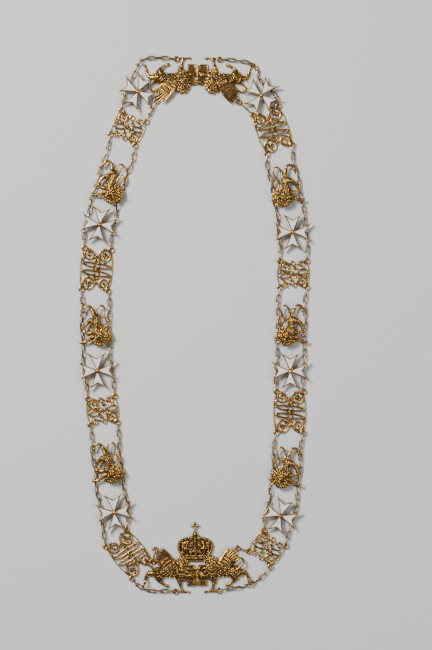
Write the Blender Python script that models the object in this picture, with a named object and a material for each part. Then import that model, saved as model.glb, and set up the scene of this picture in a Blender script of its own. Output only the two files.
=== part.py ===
"""Order collar: two strands of gilt chain carry enamelled crosses, openwork scroll links and
crowned lions, and close in a front piece and a back piece of paired winged lions.

The collar lies flat on its back. X runs across it, +Y towards the back piece and +Z up.
Units are metres. Angles are degrees.
"""
import math

import bmesh
import bpy
from mathutils import Matrix, Vector

# Levels: strands, scroll links and end pieces lie on the floor, crosses and lions on the strands
TOUCH = 0.0003
LINK_WIDTH = 0.0044
STRAND_MID = LINK_WIDTH / 2
UPPER_BACK = LINK_WIDTH + TOUCH
HALF_GAUGE = 0.0135
TUBE_STEP = 0.0120
TUBE_RESOLUTION = 2

# Cross
CROSS_REACH = 0.0183
CROSS_TIP_HALF = 0.0095
CROSS_NOTCH = 0.0125
CROSS_WAIST = 0.0034
MOUNT_THICK = 0.0021
MOUNT_MARGIN = 0.0009
ENAMEL_TIP_SETBACK = 0.0022
ENAMEL_THICK = 0.0009
ENAMEL_WAIST = 0.0026
BOSS_RADIUS = 0.0021
BOSS_RISE = 0.0012
POST_RADIUS = 0.0007

# Scroll link
LONG_SCROLL = 0.0460
SHORT_SCROLL = 0.0310
SCROLL_WIRE = 0.0014
SCROLL_LIFT = 0.0016
EYE_RADIUS = 0.0023
EYE_WIRE = 0.0009
EYE_SIDES = 7
HUB_RING_RADIUS = 0.0040
SCROLL_BULGE = 0.0020
CURL_RADIUS = 0.0050

# Lions, arrows and crown
LION_LENGTH = 0.0440
WINGED_REACH = 0.0540
BOOK_THICK = 0.0028
GROUND_SHIFT = 0.2685185 * WINGED_REACH
BUNDLE_HEIGHT = 0.0190
BUNDLE_BASE = 0.0075
BUNDLE_WIDTH = 0.0100
CROWN_WIDTH = 0.0360
CROWN_BASE = 0.573 * WINGED_REACH
CROWN_SHIFT = 0.0010
CROWN_CAP_RISE = 0.0032
ORB_RADIUS = 0.0030
ORB_LIFT = 0.0026

# Triangles of each casting, and what is cut off its back after the surface is thinned
BACK_ALLOWANCE = 0.0006
FACETS = {"crowned_lion": 330, "winged_lion": 480, "long_scroll": 470, "short_scroll": 440,
          "crown": 360, "arrow_bundle": 100}

# Materials: name, colour, metallic, roughness
GILT = ("antique_gilt", (0.42, 0.26, 0.09), 1.0, 0.36)
CHAIN_GILT = ("chain_gilt", (0.44, 0.29, 0.12), 1.0, 0.34)
ENAMEL = ("white_enamel", (0.78, 0.78, 0.76), 0.0, 0.22)

# The middle line of the collar, clockwise from the back piece, in hundredths of its length
ROUTE = (
    (0.6, 49.5), (8.0, 48.7), (13.1, 45.0), (15.4, 38.3), (18.0, 27.0), (19.4, 17.8), (19.5, 9.6),
    (19.1, -0.8), (18.9, -9.8), (18.8, -18.0), (18.1, -29.1), (16.9, -38.5), (13.6, -45.7),
    (8.0, -49.3), (0.3, -50.5), (-7.3, -49.5), (-13.1, -45.7), (-15.8, -37.6), (-17.3, -27.7),
    (-18.3, -17.2), (-19.2, -9.3), (-19.6, -0.4), (-19.5, 11.0), (-18.7, 19.8), (-16.5, 28.1),
    (-13.0, 39.2), (-10.7, 46.4), (-5.9, 48.9),
)

# Room along the strands on each side of a piece's middle
HALF_LENGTH = {
    "group": 0.78 * WINGED_REACH,
    "cross": CROSS_REACH,
    "long": LONG_SCROLL / 2,
    "short": SHORT_SCROLL / 2,
    "lion": LION_LENGTH / 2,
}

# Pieces in order from the back piece: kind, chain shown before it, and how far it leans
RIGHT_SIDE = (
    ("cross", 0.0102, 18.0), ("long", -0.0055, 5.0), ("lion", 0.0135, -1.0),
    ("cross", 0.0058, -5.0), ("short", 0.0076, 1.0), ("lion", 0.0145, 2.0),
    ("cross", 0.0047, 1.0), ("long", -0.0003, 2.0), ("lion", 0.0111, 1.0),
    ("cross", 0.0072, -4.0), ("short", 0.0022, -3.0),
)
LEFT_SIDE = (
    ("cross", 0.0052, -1.0), ("short", 0.0030, -7.0), ("lion", 0.0205, 2.0),
    ("cross", 0.0027, 1.0), ("long", 0.0033, -2.0), ("lion", 0.0120, 1.0),
    ("cross", 0.0041, -2.0), ("short", 0.0061, 0.0), ("lion", 0.0157, -1.0),
    ("cross", 0.0085, -7.0), ("long", 0.0034, 3.0),
)
FRONT_GAP_RIGHT = 0.0212
FRONT_GAP_LEFT = 0.0092

# Where an outer strand leaves the usual gauge: share of the run, and offset in half gauges
BACK_RIGHT_SWING = ((0.10, 1.12), (0.42, 1.42), (0.56, 0.75), (0.70, 0.68), (0.84, 1.00))
BACK_LEFT_SWING = ((0.12, 1.30), (0.38, 1.68), (0.50, 1.12), (0.64, 0.95), (0.84, 0.85))
FRONT_RIGHT_SWING = ((0.20, 1.24), (0.40, 1.30), (0.65, 1.20), (0.88, 1.08))
FRONT_LEFT_SWING = ((0.16, 1.52), (0.50, 1.40), (0.85, 1.12))
SWAY = 0.0008
SWAY_LENGTH = 0.031


def lerp(a, b, share):
    """The point a share of the way from one point to another."""
    return tuple(p + (q - p) * share for p, q in zip(a, b))


def smooth(points, steps, closed=False):
    """Points on a Catmull-Rom curve through the given points, of any number of values each."""
    count = len(points)
    spans = count if closed else count - 1
    path = []
    for i in range(spans):
        if closed:
            p0, p1, p2, p3 = (points[(i + k) % count] for k in (-1, 0, 1, 2))
        else:
            p0, p1, p2, p3 = (points[min(max(i + k, 0), count - 1)] for k in (-1, 0, 1, 2))
        for k in range(steps):
            t = k / steps
            path.append(tuple(
                0.5 * (2 * b + (c - a) * t + (2 * a - 5 * b + 4 * c - d) * t * t
                       + (3 * b - a - 3 * c + d) * t ** 3)
                for a, b, c, d in zip(p0, p1, p2, p3)))
    if not closed:
        path.append(tuple(points[-1]))
    return path


def lengths(path):
    """Distance from the start of a path to each of its points."""
    total = [0.0]
    for a, b in zip(path, path[1:]):
        total.append(total[-1] + math.dist(a, b))
    return total


def point_at(path, total, distance):
    """The point a distance along a path, whose lengths are given."""
    distance = min(max(distance, 0.0), total[-1])
    for i in range(len(total) - 1):
        if distance <= total[i + 1]:
            share = (distance - total[i]) / max(total[i + 1] - total[i], 1e-9)
            return lerp(path[i], path[i + 1], share)
    return path[-1]


class Loop:
    """The middle line of the collar, scaled until its length is what the pieces need."""

    def __init__(self, length):
        path = smooth(ROUTE, 16, closed=True)
        path.append(path[0])
        size = length / lengths(path)[-1]
        self.path = [(x * size, y * size) for x, y in path]
        self.total = lengths(self.path)
        self.length = length

    def point(self, station, offset=0.0):
        """A point offset outwards from the line, at a station clockwise from the back piece."""
        x, y = point_at(self.path, self.total, station % self.length)
        turn = math.radians(self.heading(station))
        return Vector((x - math.sin(turn) * offset, y + math.cos(turn) * offset))

    def heading(self, station):
        """Direction of travel at a station, in degrees."""
        reach = 0.004
        before = point_at(self.path, self.total, (station - reach) % self.length)
        after = point_at(self.path, self.total, (station + reach) % self.length)
        return math.degrees(math.atan2(after[1] - before[1], after[0] - before[0]))


def stations(side):
    """Distance of each piece of a side from the middle of the back piece, and the side's end."""
    places = []
    here = HALF_LENGTH["group"]
    for kind, gap, lean in side:
        here += gap + HALF_LENGTH[kind]
        places.append((kind, here, lean))
        here += HALF_LENGTH[kind]
    return places, here


class Seat:
    """Place and turn of one piece: its +Y points back along its side, its +X points outwards."""

    def __init__(self, loop, station, lean, hand, offset=0.0):
        self.hand = hand
        self.centre = loop.point(station, offset)
        self.turn = loop.heading(station) + (90 if hand > 0 else -90) + lean

    def world(self, x, y):
        """A point of the piece, x outwards and y back, in the collar's frame."""
        turn = math.radians(self.turn)
        x *= self.hand
        return (self.centre.x + x * math.cos(turn) - y * math.sin(turn),
                self.centre.y + x * math.sin(turn) + y * math.cos(turn))


def tube(points, resolution, closed=False):
    """A round bar through points of x, y, z and radius, as a mesh of 2 * resolution + 4 sides."""
    curve = bpy.data.curves.new("bar", "CURVE")
    curve.dimensions = "3D"
    curve.bevel_depth = 1.0
    curve.bevel_resolution = resolution
    curve.use_fill_caps = True
    spline = curve.splines.new("POLY")
    spline.points.add(len(points) - 1)
    for slot, (x, y, z, radius) in zip(spline.points, points):
        slot.co = (x, y, z, 1)
        slot.radius = radius
    spline.use_cyclic_u = closed
    holder = bpy.data.objects.new("bar", curve)
    bpy.context.scene.collection.objects.link(holder)
    graph = bpy.context.evaluated_depsgraph_get()
    bm = bmesh.new()
    bm.from_mesh(bpy.data.meshes.new_from_object(holder.evaluated_get(graph)))
    bpy.data.objects.remove(holder)
    bmesh.ops.remove_doubles(bm, verts=bm.verts, dist=0.00001)
    return finish_mesh(bm, "bar")


def ring(x, y, z, radius_x, radius_y, wire, sides=8):
    """A closed oval ring lying flat."""
    turns = [2 * math.pi * i / sides for i in range(sides)]
    points = [(x + radius_x * math.cos(a), y + radius_y * math.sin(a), z, wire) for a in turns]
    return tube(points, 0, closed=True)


def lump(centre, radii, turn=0.0, detail=2):
    """A round lump of three radii, turned about +Z."""
    bm = bmesh.new()
    bmesh.ops.create_icosphere(bm, subdivisions=detail, radius=1.0)
    spot = Matrix.Translation(centre) @ Matrix.Rotation(math.radians(turn), 4, "Z")
    bmesh.ops.transform(bm, matrix=spot @ Matrix.Diagonal((*radii, 1)), verts=bm.verts)
    return finish_mesh(bm, "lump")


def plate(outline, bottom, top):
    """A flat plate with the given outline, counter-clockwise."""
    bm = bmesh.new()
    face = bm.faces.new([bm.verts.new((x, y, bottom)) for x, y in outline])
    face.normal_flip()
    sheet = bmesh.ops.extrude_face_region(bm, geom=[face], use_keep_orig=True)
    rise = [v for v in sheet["geom"] if isinstance(v, bmesh.types.BMVert)]
    bmesh.ops.translate(bm, verts=rise, vec=(0, 0, top - bottom))
    bmesh.ops.recalc_face_normals(bm, faces=bm.faces)
    return finish_mesh(bm, "plate")


def rod(x, y, radius, bottom, top, sides=12):
    """An upright round rod."""
    bm = bmesh.new()
    bmesh.ops.create_cone(bm, cap_ends=True, segments=sides, radius1=radius, radius2=radius,
                          depth=top - bottom, matrix=Matrix.Translation((x, y, (top + bottom) / 2)))
    return finish_mesh(bm, "rod")


def finish_mesh(bm, name):
    """A mesh made from a bmesh, which is freed."""
    mesh = bpy.data.meshes.new(name)
    bm.to_mesh(mesh)
    bm.free()
    return mesh


def boolean(mesh, cutter_mesh, operation):
    """The first mesh, its own overlaps joined, after a Boolean with the second."""
    scene = bpy.context.scene.collection.objects
    body = bpy.data.objects.new("body", mesh)
    cutter = bpy.data.objects.new("cutter", cutter_mesh)
    for piece in (body, cutter):
        scene.link(piece)
    step = body.modifiers.new("join", "BOOLEAN")
    step.object = cutter
    step.operation = operation
    step.solver = "EXACT"
    step.use_self = True
    graph = bpy.context.evaluated_depsgraph_get()
    result = bpy.data.meshes.new_from_object(body.evaluated_get(graph))
    bpy.data.objects.remove(body)
    bpy.data.objects.remove(cutter)
    return result


def floor_block(top):
    """A block that takes away all that lies below a height."""
    half = 0.2
    return plate(((-half, -half), (half, -half), (half, half), (-half, half)), top - half, top)


def cast(name, parts, hand=1):
    """One casting: the parts are fused, thinned to its number of facets and cut flat at the back.

    A left hand's casting is the mirror image.
    """
    bm = bmesh.new()
    for part in parts:
        bm.from_mesh(part)
    fused = boolean(finish_mesh(bm, name), floor_block(-BACK_ALLOWANCE), "DIFFERENCE")
    cut = boolean(thinned(fused, FACETS[name]), floor_block(0.0), "DIFFERENCE")
    bm = bmesh.new()
    bm.from_mesh(cut)
    if hand < 0:
        bmesh.ops.scale(bm, vec=(-1, 1, 1), verts=bm.verts)
        bmesh.ops.reverse_faces(bm, faces=bm.faces)
    return finish_mesh(bm, name)


def thinned(mesh, facets):
    """A copy of a closed mesh brought down to about a number of triangles."""
    holder = bpy.data.objects.new("holder", mesh)
    bpy.context.scene.collection.objects.link(holder)
    step = holder.modifiers.new("thin", "DECIMATE")
    step.ratio = min(facets / sum(len(face.vertices) - 2 for face in mesh.polygons), 1.0)
    graph = bpy.context.evaluated_depsgraph_get()
    result = bpy.data.meshes.new_from_object(holder.evaluated_get(graph))
    bpy.data.objects.remove(holder)
    return result


def limbs(rows, size, resolution=1):
    """Bars from a table of name, height and points, in hundredths of a size.

    A point has a fourth value where its height isn't its bar's.
    """
    unit = size / 100
    bars = []
    for name, lift, points in rows:
        path = [(x * unit, y * unit, (own[0] if own else lift) * unit, r * unit)
                for x, y, r, *own in points]
        bars.append(tube(path, resolution))
    return bars


# Crowned lion, seen from the front of its right-hand side: +x outwards, head to the front.
# Name, height, then x, y and radius, all in hundredths of its length.
LION_LIMBS = (
    ("body", 4, ((0, 20, 7.5), (0, 8, 7.0), (0, -4, 7.5), (2, -16, 9.5))),
    ("upper hind leg", 3, ((1, 24, 7.0), (7, 32, 5.4), (11, 43, 4.0), (19, 48, 3.6), (27, 44, 3.8))),
    ("lower hind leg", 3, ((3, 18, 7.0), (11, 14, 6.0), (18, 13, 5.0), (24, 3, 4.0), (29, -6, 4.2))),
    ("upper foreleg", 3, ((3, -10, 6.0), (12, -13, 4.6), (20, -9, 3.6), (24, -4, 3.4))),
    ("lower foreleg", 3, ((5, -20, 6.5), (14, -29, 5.0), (23, -35, 3.8), (31, -36, 4.0))),
    ("neck", 5, ((-3, -14, 11.0), (-6, -26, 12.0), (0, -36, 7.0))),
    ("mane tuft", 4, ((-12, -20, 9.0), (-24, -23, 5.5), (-36, -25, 1.8))),
    ("mane lock", 3, ((-10, -14, 8.0), (-20, -12, 5.0), (-26, -8, 2.0))),
    ("mane fall", 3, ((-12, -30, 8.0), (-22, -32, 4.5), (-27, -37, 1.8))),
    ("muzzle", 7, ((-6, -38, 5.0), (-9, -43, 4.6), (-8, -46, 3.4))),
    ("crown", 6, ((0, -47, 3.6), (8, -43, 5.6), (14, -35, 5.4), (16, -28, 3.2))),
    ("tail root", 4, ((0, 22, 3.4), (-4, 30, 3.0), (-3, 39, 2.8), (-10, 47, 2.8), (-18, 39, 2.8),
                      (-16, 26, 2.6), (-10, 15, 2.6), (-12, 4, 2.6), (-19, 2, 2.6), (-25, 12, 2.8),
                      (-26, 21, 3.4))),
)

# Winged lion, facing the middle: x outwards, y inwards from the ground line, radius.
# In hundredths of its reach.
WINGED_LIMBS = (
    ("ground bar", 2, ((13, 0, 2.4), (36, 0, 2.4))),
    ("planted foreleg", 3, ((33, 32, 6.5), (32, 20, 4.4), (30, 11, 3.0), (27, -1, 3.6))),
    ("raised foreleg", 6, ((30, 38, 5.0), (22, 30, 3.6), (14, 31, 3.8))),
    ("body", 2, ((32, 38, 12.0), (46, 37, 10.5), (58, 37, 9.5), (72, 38, 11.0))),
    ("near hind leg", 4, ((68, 30, 7.0), (70, 23, 4.6), (64, 18, 3.2), (58, 14, 3.8))),
    ("far hind leg", 3, ((76, 36, 6.5), (88, 36, 4.4), (95, 28, 3.2))),
    ("mane", 3, ((28, 59, 8.0), (27, 48, 13.0), (28, 38, 13.5), (31, 28, 8.5), (33, 20, 3.5))),
    ("muzzle", 8, ((22, 44, 7.0), (16, 42, 5.0))),
    ("wing arm", 4, ((38, 46, 8.0), (48, 60, 6.5), (59, 74, 3.6), (64, 80, 2.0))),
    ("wing middle", 4, ((44, 46, 7.5), (56, 58, 6.0), (65, 69, 4.2), (73, 78, 2.4))),
    ("wing trail", 3, ((52, 44, 7.0), (61, 52, 5.0), (68, 60, 3.4), (71, 67, 2.0))),
)
TAIL = ((62, 44, 2.4, 5), (72, 56, 2.2), (80, 62, 2.2), (86, 60, 2.2), (88, 53, 2.2), (82, 47, 2.2),
        (75, 42, 2.4))
FAR_PAW = ((94, 30, 3.2, 3), (95, 24, 3.0), (96, 19, 3.0), (99, 15, 3.0))
# In front, the tails pass over the last scroll links and the far paws stand on the strand.
# At the back both lie low, under the first crosses.
END_HEIGHTS = {"front": {"tail": 11, "far paw": 12.5}, "back": {"tail": 4, "far paw": 3}}
OUTER_EYE = (40, 2)
INNER_EYE = (76, 80)

# Crown: x from its middle, y up from its rim, radius, in hundredths of its width
CROWN_LIMBS = (
    ("rim", 6, ((-34, 12, 3.4), (-20, 3, 3.8), (0, 0, 4.0), (20, 3, 3.8), (34, 12, 3.4))),
    ("circlet", 7, ((-36, 21, 5.0), (-21, 12, 6.0), (0, 9, 6.5), (21, 12, 6.0), (36, 21, 5.0))),
    ("left arch", 6, ((-36, 20, 4.0), (-46, 40, 4.2), (-40, 58, 4.2), (-20, 68, 4.4), (0, 70, 4.0))),
    ("right arch", 6, ((36, 20, 4.0), (46, 40, 4.2), (40, 58, 4.2), (20, 68, 4.4), (0, 70, 4.0))),
    ("left near arch", 9, ((-17, 14, 3.6), (-22, 36, 3.8), (-14, 58, 3.8), (0, 70, 3.6))),
    ("right near arch", 9, ((17, 14, 3.6), (22, 36, 3.8), (14, 58, 3.8), (0, 70, 3.6))),
    ("front cross", 11, ((0, 12, 4.0), (0, 24, 6.0), (0, 38, 4.4))),
    ("top cross post", 9, ((0, 74, 3.4), (0, 92, 2.6), (0, 106, 3.0))),
    ("top cross arms", 9, ((-8, 97, 3.0), (0, 97, 2.2), (8, 97, 3.0))),
)

# Arrow shaft from its top to its foot: share of the height, then place across, lift and radius
# in shares of the bundle's width
ARROW_SHAFT = ((1.00, 0.36, 0.10, 0.15), (0.55, 0.06, 0.12, 0.12), (0.00, -0.32, 0.10, 0.14))


def spiral(x, y, radius, start, turns, points):
    """Points winding in from a radius to a third of it, with a bar that thins to its end."""
    path = []
    for i in range(points):
        share = i / (points - 1)
        angle = math.radians(start + 360 * turns * share)
        reach = radius * (1 - 0.66 * share)
        path.append((x + reach * math.cos(angle), y + reach * math.sin(angle),
                     SCROLL_LIFT, SCROLL_WIRE * (1 - 0.3 * share)))
    return path


def scroll_link_parts(length):
    """Openwork of four volutes about a hub ring, with an eye for a chain at each corner."""
    eye_y = length / 2 - EYE_RADIUS
    parts = [ring(0, 0, SCROLL_LIFT, HUB_RING_RADIUS, HUB_RING_RADIUS, SCROLL_WIRE)]
    curl = min(CURL_RADIUS, eye_y * 0.36)
    for x_side in (-1, 1):
        side_x = x_side * (HALF_GAUGE + SCROLL_BULGE)
        bow = [(x_side * HALF_GAUGE, -eye_y + EYE_RADIUS), (side_x, -eye_y * 0.4),
               (side_x, eye_y * 0.4), (x_side * HALF_GAUGE, eye_y - EYE_RADIUS)]
        bow = [(x, y, SCROLL_LIFT, EYE_WIRE) for x, y in bow]
        parts.append(tube(bow, 0))
        for y_side in (-1, 1):
            eye = (x_side * HALF_GAUGE, y_side * eye_y)
            parts.append(ring(*eye, STRAND_MID, EYE_RADIUS, EYE_RADIUS, EYE_WIRE, EYE_SIDES))
            centre = (x_side * (HALF_GAUGE - EYE_RADIUS - curl), y_side * eye_y * 0.62)
            wound = spiral(*centre, curl, 0, 0.9, 7)
            stem = [(eye[0] - x_side * EYE_RADIUS, eye[1], SCROLL_LIFT, SCROLL_WIRE)]
            turned = [(centre[0] + x_side * (x - centre[0]), centre[1] - y_side * (y - centre[1]),
                       z, r) for x, y, z, r in wound]
            parts.append(tube(stem + turned, 0))
            leaf = [(x_side * HUB_RING_RADIUS * 0.7, y_side * HUB_RING_RADIUS * 0.7),
                    (x_side * HALF_GAUGE * 0.62, y_side * eye_y * 0.28),
                    (x_side * (HALF_GAUGE + SCROLL_BULGE * 0.6), y_side * eye_y * 0.42)]
            leaf = [(x, y, SCROLL_LIFT, SCROLL_WIRE * r) for (x, y), r in zip(leaf, (1, 1.4, 0.6))]
            parts.append(tube(leaf, 0))
    for y_side in (-1, 1):
        bar = [(0, y_side * HUB_RING_RADIUS * 0.8, SCROLL_LIFT, SCROLL_WIRE),
               (0, y_side * length * 0.30, SCROLL_LIFT, SCROLL_WIRE * 1.7),
               (0, y_side * length * 0.46, SCROLL_LIFT, SCROLL_WIRE * 0.5)]
        parts.append(tube(bar, 0))
    return parts


def cross_outline(waist, margin=0.0, tip_setback=0.0):
    """Maltese cross: four arms that widen to two points, with a notch between them."""
    reach = CROSS_REACH - tip_setback
    half_tip = CROSS_TIP_HALF * reach / CROSS_REACH - margin
    notch = CROSS_NOTCH - margin - tip_setback / 2
    arm = ((half_tip, reach), (0.0, notch), (-half_tip, reach), (-waist / 2, waist / 2))
    outline = []
    for quarter in range(4):
        turn = Matrix.Rotation(math.radians(90 * quarter), 2)
        outline += [tuple(turn @ Vector(corner)) for corner in arm]
    return outline


def cross_mount_mesh():
    """Gilt plate of a cross, with a post through the enamel and a boss on it."""
    plate_top = MOUNT_THICK
    boss_foot = plate_top + TOUCH + ENAMEL_THICK + TOUCH
    parts = [plate(cross_outline(CROSS_WAIST), 0.0, plate_top),
             rod(0, 0, POST_RADIUS, plate_top / 2, boss_foot + BOSS_RISE / 2, 8)]
    mount = boolean(parts[0], parts[1], "UNION")
    dome = lump((0, 0, boss_foot), (BOSS_RADIUS, BOSS_RADIUS, BOSS_RISE))
    dome_foot = rod(0, 0, 2 * BOSS_RADIUS, boss_foot - 2 * BOSS_RISE, boss_foot)
    return boolean(mount, boolean(dome, dome_foot, "DIFFERENCE"), "UNION")


def cross_enamel_mesh():
    """Enamel plate of a cross, with a hole for the post."""
    bottom = MOUNT_THICK + TOUCH
    top = bottom + ENAMEL_THICK
    leaf = plate(cross_outline(ENAMEL_WAIST, MOUNT_MARGIN, ENAMEL_TIP_SETBACK), bottom, top)
    hole = rod(0, 0, POST_RADIUS + TOUCH, bottom - TOUCH, top + TOUCH, 8)
    return boolean(leaf, hole, "DIFFERENCE")


def arrow_bundle_mesh():
    """A sheaf of arrows, bound at its waist, lying over the two books."""
    bars = []
    for lean in (-1, 0, 1):
        bars.append(tube([(lean * across * BUNDLE_WIDTH, BUNDLE_BASE + BUNDLE_HEIGHT * up,
                           lift * BUNDLE_WIDTH, radius * BUNDLE_WIDTH)
                          for up, across, lift, radius in ARROW_SHAFT], 1))
    return cast("arrow_bundle", bars)


def winged_lion_mesh(hand, end):
    """Winged lion with its book, ground bar and two eyes for the strands."""
    unit = WINGED_REACH / 100
    heights = END_HEIGHTS[end]
    rows = [*WINGED_LIMBS, ("tail", heights["tail"], TAIL), ("far paw", heights["far paw"], FAR_PAW)]
    book = plate([(x * unit, y * unit) for x, y in ((3, 11), (19, 11), (19, 50), (3, 50))],
                 0.0, BOOK_THICK)
    parts = limbs(rows, WINGED_REACH) + [book]
    parts.append(lump((72 * unit, 37 * unit, 3 * unit), (11 * unit, 11 * unit, 9 * unit)))
    for x, y in (OUTER_EYE, INNER_EYE):
        parts.append(ring(x * unit, y * unit, STRAND_MID, EYE_RADIUS, EYE_RADIUS, EYE_WIRE, EYE_SIDES))
    return cast("winged_lion", parts, hand)


def crown_mesh():
    """Crown of the front piece, open below its rim."""
    cap = lump((0, 0.38 * CROWN_WIDTH, 0.0), (0.37 * CROWN_WIDTH, 0.30 * CROWN_WIDTH, CROWN_CAP_RISE))
    orb = lump((0, 0.76 * CROWN_WIDTH, ORB_LIFT), (ORB_RADIUS,) * 3)
    return cast("crown", limbs(CROWN_LIMBS, CROWN_WIDTH) + [cap, orb])


def lion_mesh(hand):
    """Crowned lion, walking to the front with its paws outwards."""
    unit = LION_LENGTH / 100
    head = lump((-2 * unit, -36 * unit, 6 * unit), (9 * unit, 9 * unit, 8 * unit))
    mane = lump((-9 * unit, -22 * unit, 4 * unit), (19 * unit, 17 * unit, 11 * unit))
    return cast("crowned_lion", limbs(LION_LIMBS, LION_LENGTH) + [head, mane], hand)


def material(name, colour, metallic, roughness):
    """A plain material."""
    skin = bpy.data.materials.new(name)
    skin.use_nodes = True
    shader = skin.node_tree.nodes["Principled BSDF"]
    shader.inputs["Base Color"].default_value = (*colour, 1)
    shader.inputs["Metallic"].default_value = metallic
    shader.inputs["Roughness"].default_value = roughness
    return skin


def place(name, mesh, skin, collar, x, y, z, turn):
    """One object of the collar, sharing its mesh with its like."""
    piece = bpy.data.objects.new(name, mesh)
    bpy.context.scene.collection.objects.link(piece)
    piece.location = (x, y, z)
    piece.rotation_euler.z = math.radians(turn)
    piece.parent = collar
    if not mesh.materials:
        mesh.materials.append(skin)
        mesh.shade_smooth()
        mesh.set_sharp_from_angle(angle=math.radians(40))
    return piece


def strand_points(loop, start, end, stations_between, side, swing):
    """Middle line of one strand between two eyes: side is +1 for the outer strand."""
    first, last = stations_between
    middle = []
    if swing is not None:
        for share, gauges in swing:
            point = loop.point(first + (last - first) * share, side * gauges * HALF_GAUGE)
            middle.append((point.x, point.y))
    else:
        count = max(int(abs(last - first) / (SWAY_LENGTH / 2)), 1)
        for i in range(1, count):
            sway = SWAY * (-1) ** i * side
            point = loop.point(first + (last - first) * i / count, side * (HALF_GAUGE + sway))
            middle.append((point.x, point.y))
    path = smooth([start, *middle, end], 8)
    total = lengths(path)
    trim = EYE_RADIUS + EYE_WIRE + TOUCH
    run = total[-1] - 2 * trim
    count = max(round(run / TUBE_STEP), 1)
    line = [point_at(path, total, trim + run * i / count) for i in range(count + 1)]
    return [(x, y, STRAND_MID, LINK_WIDTH / 2) for x, y in line]


def build():
    """Lays out the collar and places every piece."""
    for old in list(bpy.data.objects):
        bpy.data.objects.remove(old)
    gilt, chain_gilt, enamel = (material(*row) for row in (GILT, CHAIN_GILT, ENAMEL))
    collar = bpy.data.objects.new("collar", None)
    bpy.context.scene.collection.objects.link(collar)

    right, right_end = stations(RIGHT_SIDE)
    left, left_end = stations(LEFT_SIDE)
    front = right_end + FRONT_GAP_RIGHT + HALF_LENGTH["group"]
    loop = Loop(front + left_end + FRONT_GAP_LEFT + HALF_LENGTH["group"])

    mount_mesh, enamel_mesh = cross_mount_mesh(), cross_enamel_mesh()
    scroll_meshes = {"long": cast("long_scroll", scroll_link_parts(LONG_SCROLL)),
                     "short": cast("short_scroll", scroll_link_parts(SHORT_SCROLL))}
    lion_meshes = {hand: lion_mesh(hand) for hand in (1, -1)}
    winged_meshes = {(hand, end): winged_lion_mesh(hand, end)
                     for hand in (1, -1) for end in END_HEIGHTS}
    bundle_mesh = arrow_bundle_mesh()

    ends = {}
    for end, station in (("back", 0.0), ("front", front)):
        seat = Seat(loop, station, 0.0, 1, GROUND_SHIFT)
        turn = seat.turn - 90
        ends[end] = (seat.centre, turn, station)
        for hand, side in ((1, "right"), (-1, "left")):
            across = -hand if end == "back" else hand
            place(f"winged_lion_{end}_{side}", winged_meshes[across, end], gilt, collar,
                  *seat.centre, 0.0, turn + 180)
        place(f"arrow_bundle_{end}", bundle_mesh, gilt, collar,
              *seat.centre, BOOK_THICK + TOUCH, turn + 180)
    centre, turn, _ = ends["front"]
    way = Matrix.Rotation(math.radians(turn + 180), 2) @ Vector((-CROWN_SHIFT, CROWN_BASE))
    place("crown", crown_mesh(), gilt, collar, *(centre + way), 0.0, turn + 180)

    def end_eye(end, side, eye):
        """Place of a winged lion's eye in the collar's frame."""
        centre, turn, _ = ends[end]
        across = -side if end == "back" else side
        x, y = (value * WINGED_REACH / 100 for value in eye)
        spot = centre + Matrix.Rotation(math.radians(turn + 180), 2) @ Vector((across * x, y))
        return spot.x, spot.y

    for hand, side, places, swings in (
            (1, "right", right, (BACK_RIGHT_SWING, FRONT_RIGHT_SWING)),
            (-1, "left", left, (BACK_LEFT_SWING, FRONT_LEFT_SWING))):
        counts = {"cross": 0, "scroll": 0, "lion": 0}
        strands = {1: end_eye("back", hand, OUTER_EYE), -1: end_eye("back", hand, INNER_EYE)}
        froms = {1: hand * OUTER_EYE[0] * WINGED_REACH / 100,
                 -1: hand * INNER_EYE[0] * WINGED_REACH / 100}
        for kind, distance, lean in places:
            family = "scroll" if kind in scroll_meshes else kind
            counts[family] += 1
            label = f"{side}_{counts[family]}"
            seat = Seat(loop, hand * distance, lean, hand)
            if kind == "cross":
                place(f"cross_mount_{label}", mount_mesh, gilt, collar,
                      *seat.centre, UPPER_BACK, seat.turn)
                place(f"cross_enamel_{label}", enamel_mesh, enamel, collar,
                      *seat.centre, UPPER_BACK, seat.turn)
            elif kind == "lion":
                place(f"crowned_lion_{label}", lion_meshes[hand], gilt, collar,
                      *seat.centre, UPPER_BACK, seat.turn)
            else:
                place(f"scroll_link_{label}", scroll_meshes[kind], gilt, collar,
                      *seat.centre, 0.0, seat.turn)
                eye_y = HALF_LENGTH[kind] - EYE_RADIUS
                for strand, word in ((1, "outer"), (-1, "inner")):
                    near = seat.world(strand * HALF_GAUGE, eye_y)
                    reached = hand * (distance - eye_y)
                    swing = None
                    if counts["scroll"] == 1:
                        swing = swings[0] if strand > 0 else ()
                    points = strand_points(loop, strands[strand], near,
                                           (froms[strand], reached), strand, swing)
                    chain(f"chain_{label}_{word}", points, chain_gilt, collar)
                    strands[strand] = seat.world(strand * HALF_GAUGE, -eye_y)
                    froms[strand] = hand * (distance + eye_y)
        station = front if hand > 0 else front - loop.length
        for strand, word, eye in ((1, "outer", OUTER_EYE), (-1, "inner", INNER_EYE)):
            reached = station - hand * eye[0] * WINGED_REACH / 100
            points = strand_points(loop, strands[strand], end_eye("front", hand, eye),
                                   (froms[strand], reached), strand,
                                   swings[1] if strand > 0 else ())
            chain(f"chain_{side}_5_{word}", points, chain_gilt, collar)
    centre_on_origin(collar)


def chain(name, points, skin, collar):
    """The outer form of one length of chain."""
    mesh = tube(points, TUBE_RESOLUTION)
    mesh.name = name
    place(name, mesh, skin, collar, 0, 0, 0, 0)


def centre_on_origin(collar):
    """Moves the collar until the middle of its outline is over the origin."""
    bpy.context.view_layer.update()
    corners = [piece.matrix_world @ vertex.co for piece in collar.children
               for vertex in piece.data.vertices]
    for axis in (0, 1):
        values = [corner[axis] for corner in corners]
        collar.location[axis] = -(min(values) + max(values)) / 2


build()
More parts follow.
